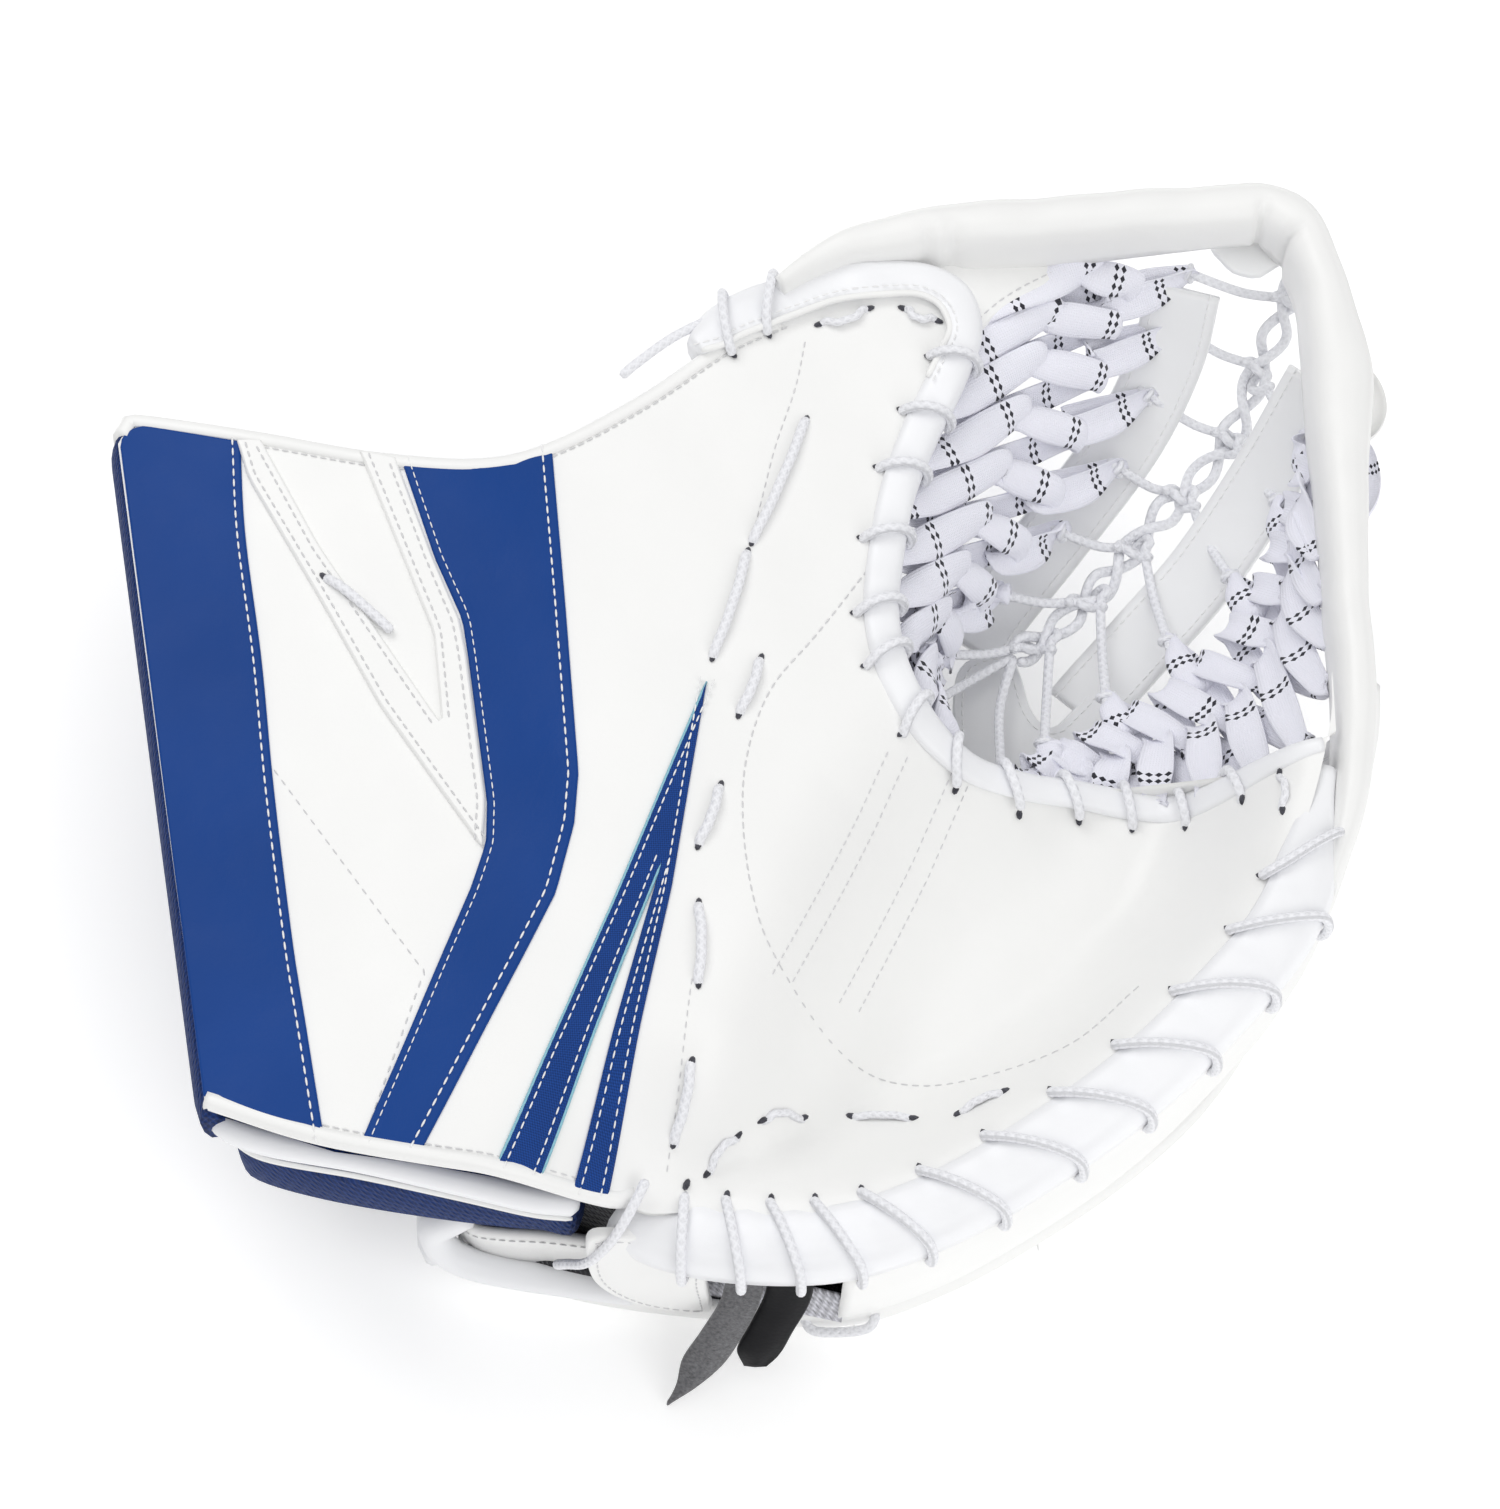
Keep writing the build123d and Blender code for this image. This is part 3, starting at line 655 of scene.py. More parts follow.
V_INNER = [(-120, 75), (-95.5, 13), (-92, -18), (-131, 42), (-150.5, 79)]

cuff_seam = smooth(CUFF_SEAM, 4)
cuff_band = np.vstack([cuff_seam, resample([(-157.4, -135.5), (-194.2, 79), (-192, 83.5), (-187, 85)], 3.0)])
piece("cuff_band_skin", patch(cuff_band, 0.9), "blue", "thumb_cuff", ("cuff_band",))
chevron = np.vstack([resample(CHEVRON_LEFT, 4), resample(CHEVRON_RIGHT[::-1], 4),
                     [(-73, 72.5), (-84, 70), (-96, 70.5)]])
piece("chevron_skin", patch(chevron, 0.9), "blue", "thumb_cuff", ("chevron_stripe",))
spear = np.vstack([resample(SPEAR_LEFT, 4), resample(SPEAR_RIGHT, 4)[1:],
                   resample(SPEAR_SLOT[::-1], 4)])
piece("spear_skin", patch(spear, 1.0), "twill", None, ("spear_stripe",))
v_shape = np.vstack([resample(V_OUTER, 4), resample(V_INNER, 4)])
piece("v_overlay_skin", patch(v_shape, 2.2), "leather", "thumb_cuff", ("v_overlay",))

# ---- stitching on the board ------------------------------------------------------------
thread = Bag()
stitches(thread, shifted(cuff_seam, 2.4), lift=1.1)
stitches(thread, shifted(resample(CHEVRON_RIGHT, 4), 3.0), lift=1.1)
stitches(thread, shifted(resample(CHEVRON_LEFT, 4), -2.2), pitch=3.0, length=2.2, radius=0.22, lift=1.05)
for line, inset in ((SPEAR_LEFT, 2.0), (SPEAR_RIGHT, 2.0), (SPEAR_SLOT[:2], -2.0), (SPEAR_SLOT[1:], -2.0)):
    stitches(thread, shifted(resample(line, 4), inset), pitch=3.2, length=2.4, radius=0.28, lift=1.15)
piece("board_stitching", thread, "thread", "thumb_cuff")
thread = Bag()
for line in (cuff_top, cuff_bottom):
    stitches(thread, shifted(line, 3.6), lift=0.3, **FINE)
stitches(thread, resample([(-141, -33), (-95, -97), (-111, -150)], 4), pitch=4.0, length=2.2,
         radius=0.25, lift=0.1)
for line in (V_OUTER[:5], V_OUTER[4:], V_INNER[:3], V_INNER[2:]):
    row = shifted(resample(line, 3), -2.3)
    stitches(thread, row[1:-1], pitch=3.3, length=2.2, radius=0.34, lift=2.3)
piece("board_fine_stitching", thread, "fine", "thumb_cuff")
teal = Bag()
for line in (SPEAR_LEFT, SPEAR_SLOT[:2]):
    teal.add(*tube(lifted(resample(line, 3), 0.5), 0.5, 6))
piece("spear_edge", teal, "teal", None)

# ---- cord work helpers -----------------------------------------------------------------

HOLE = (2.0, 1.05, 0.6)                        # half sizes of a lacing hole: along, across, up


def dot(bag, centre, along):
    """A small flat dark oval of painted shade where a cord goes through the leather."""
    along = unit([along[0], along[1], 0.0])
    side = np.array([-along[1], along[0], 0.0])
    rings = [(-1, 0.0), (-0.6, 0.8), (0, 1.0), (0.6, 0.8), (1, 0.0)]
    verts = [centre + along * HOLE[0] * c * math.cos(a) + side * HOLE[1] * c * math.sin(a)
             + np.array([0, 0, HOLE[2] * z]) for z, c in rings for a in np.arange(8) * math.pi / 4]
    bag.add(verts, ring_faces(len(rings), 8))


def surface_stitch(cords, holes, a, b, radius=CORD, slack=0.8):
    """A cord lying on the leather between two holes."""
    a, b = np.array(a, float), np.array(b, float)
    run = unit(b - a)
    bow = np.array([-run[1], run[0]]) * slack
    spots = [(a - run, -1.6), (a + run * 1.5, 1.0), (a + (b - a) * 0.3 + bow, 1.9), ((a + b) / 2 + bow, 2.0),
             (a + (b - a) * 0.7 + bow, 1.9), (b - run * 1.5, 1.0), (b + run, -1.6)]
    cords.cord([lifted(p, lift)[0] for p, lift in spots], radius)
    for spot, way in ((a, -run), (b, run)):
        dot(holes, lifted(spot + way * 0.6, 0.35)[0], run)


def wraps(cords, holes, line, at, turns):
    """Cords wrapped over an edge; turns are (inward, up, back along the line) for each wrap."""
    run = run_along(line[:, :2])
    ways = tangents(line[:, :2])
    for s, shift in at:
        path = []
        for inward, up, back in turns:
            here = s - back * shift
            base, t = read(line, run, here), unit(read(ways, run, here))
            path.append([base[0] + t[1] * inward, base[1] - t[0] * inward, base[2] + up])
        cords.cord(path)
        hole = np.array(path[0])
        hole[2] = height(hole)[0] + 0.6
        dot(holes, hole, np.array(path[1]) - np.array(path[0]) + 1e-6)


def starts(line, holes, shift):
    """For wraps: the distance along a line nearest to each hole, with the wrap's shift back."""
    run = run_along(line[:, :2])
    return [(run[np.argmin(np.linalg.norm(line[:, :2] - hole, axis=1))], shift) for hole in holes]


# ---- lacing on the board and the palm --------------------------------------------------
BOARD_STITCHES = [((17, 86), (1, 45)), ((-1, 40), (-11, 6)), ((3, 4), (-3, -13)), ((-9, -38), (-15, -56)),
                  ((-15, -76), (-15, -100)), ((-17, -124), (-22, -143))]
PALM_STITCHES = [((-12, -149), (-4, -139)), ((4, -133), (15, -129)), ((31, -125), (48, -129)),
                 ((62, -131), (74, -126)), ((158.5, -31), (158.3, -43)),
                 ((36.6, 126.5), (22.3, 121.5)), ((58, 122.5), (48.5, 126.5))]
board_cords, board_holes, palm_cords, palm_holes = Bag(), Bag(), Bag(), Bag()
for a, b in BOARD_STITCHES:
    surface_stitch(board_cords, board_holes, a, b)
stub = [((-129, 31), -1.5), ((-127.5, 30), 2.6), ((-122, 25.5), 4.2), ((-114, 18.5), 3.0), ((-108, 13), 1.7)]
board_cords.cord([lifted(p, lift)[0] for p, lift in stub])
dot(board_holes, lifted((-129, 31), 2.4)[0], (1, -0.9))
for a, b in PALM_STITCHES:
    by_thumb = a[1] > 100
    surface_stitch(palm_cords, palm_holes, a, b, THIN_CORD, 2.2 if by_thumb else 0.8)
piece("board_cords", board_cords, "cord", None, ("board_lacing",))
piece("board_cord_holes", board_holes, "hole", None)
piece("palm_cords", palm_cords, "cord", None)
piece("palm_cord_holes", palm_holes, "hole", None)

palm_thread = Bag()
PALM_OVAL = [(43, 45), (21, 14), (6, -6), (-1, -28), (-2, -50), (1, -73), (7, -89), (21, -104), (39, -112),
             (63, -116), (93, -112), (114, -95)]
stitches(palm_thread, smooth(PALM_OVAL), pitch=3.4, length=2.3, radius=0.26)
for k in (0, 6, 20, 26):
    stitches(palm_thread, smooth([(41 + k, -24), (24 + k, -60), (7 + k, -94)]), pitch=3.0, length=1.9,
             radius=0.24)
stitches(palm_thread, smooth([(17, 114), (14, 98), (8, 78), (4, 61), (-2, 34)]), pitch=3.4, length=2.2,
         radius=0.22)
stitches(palm_thread, smooth([(-17, -100), (-20, -125), (-24, -150)]), pitch=3.4, length=2.0, radius=0.2)
piece("palm_stitching", palm_thread, "fine", None)

# ---- binding round the thumb and the pocket --------------------------------------------
THUMB_BINDING = [(-17, 112, 3.5), (-12, 116.5, 6.5), (-6, 121.5, 7.5), (3, 126.5, 8), (13, 130.5, 7.6),
                 (25, 135, 7.6), (40, 136.4, 6.8), (54, 136, 6.4), (63.5, 130, 6.2),
                 (66.8, 118.5, 5.2), (63.5, 108, 5.2), (59, 98, 5.5), (52.5, 84, 5.5), (45.5, 64, 5.2),
                 (41.5, 43, 5.2), (39.5, 21, 5.2), (43, 2, 5.2), (52, -13, 5.2), (66, -21, 5),
                 (84, -21.5, 5), (102, -20, 5), (121, -22, 5), (142, -25, 4.8), (158, -25.5, 3.6),
                 (171, -24, 2.2)]
THUMB_STEP = 1.6
thumb_line = smooth(THUMB_BINDING, THUMB_STEP)
half = thumb_line[:, 2:3].copy()
thumb_line[:, 2] = height(thumb_line) + 1.5 * ease((thumb_line[:, 1] - 90) / 20)
side, up = upright(thumb_line)
along_binding = np.arange(len(thumb_line)) * THUMB_STEP
puff = 0.45 * np.sin(along_binding / 7.5) + 0.3 * np.sin(along_binding / 3.1 + 1)
shape = np.array([(1.0, 0.3), (0.94, 1.5), (0.5, 2.1), (0, 2.3), (-0.6, 2.0), (-0.98, 0.4),
                  (-1.12, -2.6), (-1.0, -8.5), (-0.55, -10.5), (0.1, -10.0), (0.5, -4.0)])
section = np.repeat(shape[None], len(thumb_line), axis=0)
section[..., 0] *= half
section[:, 1:5, 1] += puff[:, None]
edge_roll = Bag().add(*sweep(thumb_line, side, up, section))
piece("thumb_edge_roll", edge_roll, "rim", None, ("thumb_edge_binding",))
piping = Bag()
wide = thumb_line[:, 1] > 98
inner = shifted(thumb_line[wide], half[wide, 0] - 0.6)
piping.add(*tube(np.column_stack([inner, thumb_line[wide, 2] + 1.6]), 1.1, 8))
piece("thumb_piping", piping, "leather", "thumb_cuff")
inner = shifted(thumb_line[wide], half[wide, 0] - 2.9)
stitching("thumb_edge_stitching", [np.column_stack([inner, thumb_line[wide, 2] + 2.6])], "thread",
          "thumb_cuff", place=lambda p, lift: p + [0, 0, lift], **SEWN)

WEB_PANEL = [(62, 112), (70, 122), (80, 132), (94, 141), (108, 149), (90, 151), (66, 149), (48, 141),
             (50, 128)]
web_edge = smooth(WEB_PANEL, 3.0, closed=True)[:-1]


def on_web(xy, lift):
    """The leather web hanging from the roll's inner face towards the net."""
    xy = np.atleast_2d(xy)[:, :2]
    return np.column_stack([xy, 113 - 0.10 * (xy[:, 0] - 50) - 0.25 * np.clip(140 - xy[:, 1], 0, 40) + lift])


piece("net_web_panel", patch(web_edge, 1.4, place=on_web), "leather", "thumb_cuff")
stitching("net_web_stitching", [shifted(smooth(WEB_PANEL[:5], 3.0), -2.6)], "fine", "thumb_cuff",
          place=on_web, lift=1.5, pitch=3.2, length=2.1, radius=0.26)

POCKET_HOLES = [(60, 107), (52, 88), (43, 68), (41, 45), (38, 21), (41, 4), (47, -15), (63, -27), (82, -26),
                (101, -26), (118, -28), (133, -29), (149, -28)]
POCKET_TURNS = [(7.5, -0.8, 0), (6.6, 1.6, 0), (3, 4.6, 0.3), (-2, 4.8, 0.7), (-6, 1.5, 1.0), (-7.4, -5, 1.2),
                (-6, -11, 1.3)]
TOP_WRAPS = [(-12.5, 117), (1.5, 125.7)]
TOP_TURNS = [(9.2, -0.8, 0), (8.2, 1.6, 0), (3, 4.8, 0.3), (-3, 5.4, 0.7), (-8, 3.0, 1.0),
             (-11, -3, 1.2), (-9, -9, 1.3)]
thumb_wraps, thumb_holes = Bag(), Bag()
for places, shift, turns in ((POCKET_HOLES, 4.0, POCKET_TURNS), (TOP_WRAPS, -9.0, TOP_TURNS)):
    wraps(thumb_wraps, thumb_holes, thumb_line, starts(thumb_line, places, shift), turns)
thumb_wraps.cord([(-8, 123, 117), (-13, 121.5, 119.5), (-24, 115.5, 119.5), (-35, 107, 118.5),
                  (-40, 103, 117)])
piece("thumb_wraps", thumb_wraps, "cord", None, ("thumb_lacing",))
piece("thumb_wrap_holes", thumb_holes, "hole", None)

# ---- rolls along the top and the fingers' side of the pocket ---------------------------
ROLL = [(9, 132.5, 3, 115), (20, 140.5, 4.5, 116.5), (30, 146, 5.5, 117.5), (40, 149.3, 6.5, 118),
        (54, 152, 7.5, 118), (69, 153.5, 8.5, 118), (109, 157, 8.5, 118), (149, 160.2, 8.5, 118),
        (162, 160.5, 8.5, 118), (172.5, 153.5, 8, 118), (179, 137, 7.4, 117), (181.8, 120, 8.9, 116),
        (183.6, 104, 10.2, 114), (183, 86, 9.2, 113), (182.8, 72, 8, 112), (182.6, 54, 7.2, 111),
        (182.5, 40, 6.6, 110.5), (182.3, 25, 6.4, 110), (183, 0, 6.3, 109.5), (181.5, -22, 6, 108.5),
        (178, -44, 4.8, 107), (171.5, -66, 2.5, 103)]
ROLL_STEP = 1.5
roll_line = smooth(ROLL, ROLL_STEP)
roll_half = roll_line[:, 2]
roll_path = np.column_stack([roll_line[:, :2], roll_line[:, 3]])
side, up = upright(roll_path)
shape = np.array([(1, -13), (1.05, -6), (1.0, 3), (0.84, 8), (0.45, 11), (0, 11.8), (-0.45, 11),
                  (-0.84, 8), (-1, 2), (-0.95, -6), (-0.8, -12.5), (-0.4, -14.5), (0.5, -14.8)])
section = np.repeat(shape[None], len(roll_path), axis=0)
section[..., 0] *= roll_half[:, None]
roll_run = np.arange(len(roll_path)) * ROLL_STEP
corner_at = roll_run[np.argmin(np.linalg.norm(roll_path[:, :2] - (168, 157), axis=1))]
shallow = np.interp(roll_run - corner_at, (-95, -58, -22, -4, 14), (1, 0.62, 0.36, 0.4, 1))
section[..., 1] *= np.where(section[..., 1] < 0, shallow[:, None], 1)
crease = np.exp(-((roll_run[:, None] - corner_at - (-7, 9)) / 2.4) ** 2).sum(1)
fold = 1.8 * np.exp(-((roll_path[:, :1] - (54, 63)) ** 2).min(1) / 7)
wave = 0.5 * np.sin(roll_run / 8.2) + 0.35 * np.sin(roll_run / 3.8 + 1)
section[:, 1:9, 1] += wave[:, None]
section[:, 1:5, 1] -= (2.6 * crease + fold)[:, None]
section[:, 0:4, 0] *= 1 - 0.22 * crease[:, None]
section[:, 0:4, 0] -= 0.6 * fold[:, None]
roll = Bag().add(*sweep(roll_path, side, up, section))
ROLL_NODES = ("top_roll", "right_roll", "top_roll_core", "right_roll_core")
roll_obj = piece("perimeter_roll", roll, "leather", None, ROLL_NODES, fold=NET_FOLD)
CORNER_WEB = [(146, 156), (149.5, 150.5), (153, 146.5), (160, 144.5), (164, 146.5), (170.8, 150.5),
              (176, 146), (182, 150), (176, 161), (160, 164), (148, 163)]
web = patch(smooth(CORNER_WEB, 3.0, closed=True)[:-1], 1.4, place=level(107))
piece("corner_web", web, "backing", None, fold=NET_FOLD)

# ---- finger shell: wall, binding and its lacing ----------------------------------------
WALL_LINE = FINGER_LINE[FINGER_LINE[:, 0] > 27]
wall_path = np.column_stack([WALL_LINE, rim(WALL_LINE[:, 0])])
side, up = upright(wall_path)
deep = (wall_path[:, 2] - 12) * (0.62 + 0.38 * ease(np.arange(len(wall_path)) * FINGER_STEP / 30))
shape = np.array([(3, -3, 0), (-1, -8, 0), (-2.6, -0.16, 1), (-2.4, -0.35, 1), (0.5, -0.6, 1), (5, -0.85, 1),
                  (10, -0.97, 1), (14, -1.02, 1), (12, -0.9, 1), (4, -0.6, 1), (1.5, -0.3, 1), (3.5, -8, 0)])
section = np.zeros((len(wall_path), len(shape), 2))
section[..., 0] = shape[:, 0]
section[..., 1] = np.where(shape[:, 2] == 0, shape[:, 1], shape[:, 1] * deep[:, None])
wall = Bag().add(*sweep(wall_path, side, up, section))
piece("finger_wall_leather", wall, "leather", None, ("finger_wall",))

RIM_SHAPE = np.array([(16.8, -0.6), (16.2, 1.5), (13, 3.0), (7, 3.5), (1.5, 2.0), (-1.8, -1.6),
                      (-3.2, -7), (-2.8, -13), (-0.6, -13.5), (1.2, -7), (7, -3), (14, -2)])
RIM_LINE = FINGER_LINE[11:]
rim_run = run_along(RIM_LINE)
grown = 0.4 + 0.6 * ease(rim_run / 42)
rim_plan = shifted(RIM_LINE, 9 * (1 - ease(rim_run / 48)))
rim_path = np.column_stack([rim_plan, rim(RIM_LINE[:, 0]) - 0.5])
side, up = upright(rim_path)
gaps = np.interp(np.arange(13), (0, 5, 8, 12), (27, 23.5, 15, 15))
wrap_at = 41 + np.concatenate([[0], np.cumsum(gaps)])
wrap_at = wrap_at[wrap_at < rim_run[-1] - 5]
pinch = np.exp(-((rim_run[:, None] - wrap_at[None]) / 5.0) ** 2).sum(1)
rim_path[:, 2] -= 6 * (1 - grown)
section = np.repeat(RIM_SHAPE[None], len(rim_path), axis=0)
section[:, 1:5, 1] -= 0.9 * pinch[:, None]
section *= grown[:, None, None]
rim_roll = Bag().add(*sweep(rim_path, side, up, section))
piece("finger_edge_roll", rim_roll, "rim", None, ("finger_edge_binding",))
RIM_TURNS = [(18.6, -1.2, 0), (17.4, 2.0, 0), (12, 4.7, 0.3), (6, 5.2, 0.6), (0, 4.0, 0.85),
             (-3.4, -0.5, 1.0), (-4.8, -8, 1.05), (-4.0, -15, 1.05), (-1, -18, 1.05)]
rim_wraps, rim_holes = Bag(), Bag()
slant = np.interp(np.arange(len(wrap_at)), (0, 5, 8, 12), (20, 19, 12, 4))
wraps(rim_wraps, rim_holes, rim_path, list(zip(wrap_at, slant)), RIM_TURNS)
piece("rim_wraps", rim_wraps, "cord", None, ("finger_lacing",))
piece("rim_wrap_holes", rim_holes, "hole", None)

# ---- pocket net ------------------------------------------------------------------------
def knotted(points):
    """A smooth curve whose parameter counts its own points, from -1 for the first."""
    line = spline(points)
    return lambda row: read(line, np.arange(len(line)), (row + 1) * SPAN)


def along_curve(points, at):
    """Points of a smooth curve at some shares of its length."""
    line = smooth(points, 0.8)
    run = np.linspace(0, 1, len(line))
    return np.column_stack([np.interp(at, run, line[:, k]) for k in range(3)])


def hanging(edge, tips):
    """The net's hanging surface by (row, column): column 0 at its edge and 1 at the tips of its laces."""
    edge, tips = knotted(edge), knotted(tips)

    def place(row, column):
        start, end = edge(row), tips(row)
        spot = start + (end - start) * column
        spot[2] = start[2] + (end[2] - start[2]) * (1 - (1 - column) ** 1.5)
        return spot
    return place


def lace(bag, marks):
    """A flat lace through marks of (position, direction across it, width)."""
    marks = smooth([[*spot, *across, wide] for spot, across, wide in marks], 1.0)
    path, across, width = marks[:, :3], marks[:, 3:6], marks[:, 6]
    run = tangents(path)
    side = units(across - run * np.sum(run * across, axis=1, keepdims=True))
    up = np.cross(side, run)
    shares = np.array([-0.5, -0.47, -0.25, 0, 0.25, 0.47, 0.5, 0.47, 0.25, 0, -0.25, -0.47])
    bulge = np.array([-0.5, 0.3, 1.3, 1.7, 1.3, 0.3, -0.5, -0.9, 0.3, 0.7, 0.3, -0.9])
    section = np.stack([np.outer(width, shares), np.tile(bulge, (len(path), 1))], axis=-1)
    verts, faces, uvs = sweep(path, side, up, section)
    uvs[:, 1] = np.tile(shares + 0.5, len(path))
    bag.add(verts, faces, uvs)


POCKET_MIDDLE = np.array([115.0, 60.0, 150.0])


def lay(place, row, column, nudge=0.5):
    """Position on the net with the directions along its rows' line, out to the tips and up."""
    spot = place(row, column)
    across = unit(place(row + nudge, column) - place(row - nudge, column))
    out = place(row, min(column + 0.05, 1)) - place(row, min(column + 0.05, 1) - 0.1)
    out = unit(out - across * (out @ across))
    up = np.cross(across, out)
    return spot, across, out, up * np.sign(up @ (POCKET_MIDDLE - spot))


def tilted(across, up, angle):
    """The direction across a lace, rolled about its run."""
    return across * math.cos(angle) + up * math.sin(angle)


def coil(bag, place, low, high, step, rows, wide, seed):
    """A lace wound to and fro between two lines of the net, over on the way out and under on the way back."""
    marks = []
    for count in range(int(abs((rows[1] - rows[0]) / step))):
        row = rows[0] + step * count
        sway = math.sin(seed + count * 2.3)
        a, across_a, _, up_a = lay(place, row, low)
        b, across_b, out_b, up_b = lay(place, row + step * 0.72, high)
        c, across_c, out_c, up_c = lay(place, row + step, low)
        top, _, _, up_t = lay(place, row + step * 0.32, low + (high - low) * 0.45)
        under, _, _, up_u = lay(place, row + step * 0.88, (low + high) / 2)
        marks += [(a + up_a * 0.6, tilted(across_a, up_a, 0.3), wide * 0.72),
                  (top + up_t * (3.2 + 0.6 * sway), tilted(across_b, up_t, 0.15 + 0.15 * sway), wide * 1.05),
                  (b + up_b * 3.4 - across_b * 0.6, tilted(across_b, up_b, -0.12), wide * 0.92),
                  (b + out_b * 4.4 + up_b * 0.4, tilted(across_b, out_b, 0.08), wide * 0.8),
                  (b - up_b * 2.2 + across_b * 0.6, tilted(across_b, up_b, 0.12), wide * 0.78),
                  (under - up_u * (2.2 - 0.5 * sway), tilted(across_b, up_u, -0.15 + 0.15 * sway),
                   wide * 0.95),
                  (c - up_c * 2.0, tilted(across_c, up_c, 0.15), wide * 0.78),
                  (c - out_c * 3.6 - up_c * 0.4, tilted(across_c, out_c, -0.1), wide * 0.72)]
    lace(bag, marks)


def petal(bag, place, row, low, wide):
    """The last loop of a lace: hooked on the net and gathered to a narrow tip."""
    a, across, out, up = lay(place, row, low)
    mid, _, _, up_m = lay(place, row, low + (1 - low) * 0.5)
    tip, across_t, out_t, up_t = lay(place, row, 1.0)
    marks = [(tip + up_t * 0.9, across_t, wide * 0.28),
             (tip - out_t * 3 + up_t * 1.2, across_t, wide * 0.42),
             (mid + up_m * 2.6 + across * 1.2, across, wide * 0.98),
             (a + up * 2.0 + across * 2, across, wide * 0.9), (a - out * 2.6, across, wide * 0.8),
             (a - up * 1.6 - across * 2, across, wide * 0.85),
             (mid - up_m * 1.5 - across * 1.2, across, wide * 0.9),
             (tip - out_t * 3 - up_t * 1.0, across_t, wide * 0.4),
             (tip - up_t * 0.8, across_t, wide * 0.28)]
    lace(bag, marks)
    return tip


THUMB_ATTACH = [(86, 146, 107), (68, 124, 104), (63, 105, 104), (56, 84, 104), (50, 64, 105), (47, 45, 105),
                (46, 28, 104), (49, 10, 102), (58, -8, 95)]
THUMB_TIPS = [(150, 158, 102), (142, 153, 95), (138, 142, 80), (130, 123, 68), (120, 101, 60), (101, 79, 58),
              (81, 57, 58), (61, 34, 62), (54, 22, 70)]
FINGER_ATTACH = [(176.5, 88, 100), (176, 68, 99), (175, 40, 98), (175, 12, 96), (160, -17, 87),
                 (131, -18, 73), (104, -17, 60), (84, -17, 66)]
FINGER_TIPS = [(178, 112, 92), (176, 100, 86), (167, 84, 73), (152, 62, 63), (132, 42, 58), (112, 22, 58),
               (92, 4, 62), (84, -6, 68)]
CHAIN = [(176, 153, 100), (171, 143, 86), (164, 131, 72), (157, 116, 60), (147, 104, 53), (132, 89, 49),
         (118, 72, 47), (104, 56, 47), (92, 46, 47), (84, 40, 48)]
thumb_place, finger_place = hanging(THUMB_ATTACH, THUMB_TIPS), hanging(FINGER_ATTACH, FINGER_TIPS)
thumb_net, finger_net, chain = Bag(), Bag(), Bag()
# each winding: columns from and to, step along the rows, first and last row, width, seed of its sway
coil(thumb_net, thumb_place, -0.04, 0.32, -0.85, (7.3, -1.2), 11.5, 0.3)
coil(thumb_net, thumb_place, 0.28, 0.64, 0.85, (-1.0, 6.0), 11.0, 1.9)
coil(finger_net, finger_place, -0.02, 0.40, -0.52, (6.3, -0.3), 11.0, 0.9)
coil(finger_net, finger_place, 0.36, 0.72, 0.52, (-0.1, 5.7), 10.5, 2.7)
thumb_ends = [petal(thumb_net, thumb_place, row, 0.61, 11.0) for row in range(7)]
finger_ends = [petal(finger_net, finger_place, row, 0.68, 9.0) for row in range(6)]
piece("thumb_net_laces", thumb_net, "lace", None, ("thumb_net",), fold=NET_FOLD)
piece("finger_net_laces", finger_net, "lace", "hand_shell", ("finger_net",))
OUTER_FOLD = [(186, 116, 107), (192, 111, 106), (195.6, 105, 104), (196.6, 98, 102),
              (193.5, 91.5, 100), (187, 88, 99)]
OUTER_LOOP = [(187, 90, 99), (192.4, 87, 100), (194.2, 81, 99), (194.6, 75, 98.5), (193.4, 69, 98),
              (190.6, 64, 98), (186, 61, 98)]
for name, look, spots, widths in (
        ("outer_fold_leather", "leather", OUTER_FOLD, (3, 5, 6.4, 6, 4.5, 3)),
        ("outer_lace_end", "lace", OUTER_LOOP, (3, 4, 4.6, 4.6, 4.2, 3.4, 3))):
    loop = Bag()
    lace(loop, [(spot, (1, 0.1, 0.5), wide) for spot, wide in zip(spots, widths)])
    piece(name, loop, look, "hand_shell")

CHAIN_STEP, TWIST, CHAIN_CORD = 0.8, 17, 1.7   # step, length of half a twist, radius
chain_line = smooth(CHAIN, CHAIN_STEP)
side, up = carried_frame(chain_line)
turn = np.arange(len(chain_line)) * CHAIN_STEP / TWIST * math.pi
for phase in (0, math.pi):
    swing = 3.6 * np.sin(turn + phase)[:, None] * side + 1.7 * np.cos(turn * 2 + phase)[:, None] * up
    chain.add(*tube(chain_line + swing, CHAIN_CORD))


def tie(bag, start, end, sag=4.0):
    """A cord from a lace's tip to the chain, hooked round it."""
    start, end = np.array(start, float), np.array(end, float)
    way = unit(end - start)
    across = unit(np.cross(way, (0, 0, 1)))
    hook = [(-3, 0, 1.5), (0, 2, 3.6), (3.6, 1, 1), (1, -2.8, -2.6), (-3.4, -2.4, -0.6), (-5.5, 1.6, 2.6)]
    path = [start - way * 6 + [0, 0, 0.4], start - way * 2, (start + end) / 2 + [0, 0, -sag]]
    path += [end + way * ahead + across * aside + [0, 0, above] for ahead, aside, above in hook]
    bag.cord(path, step=0.8)


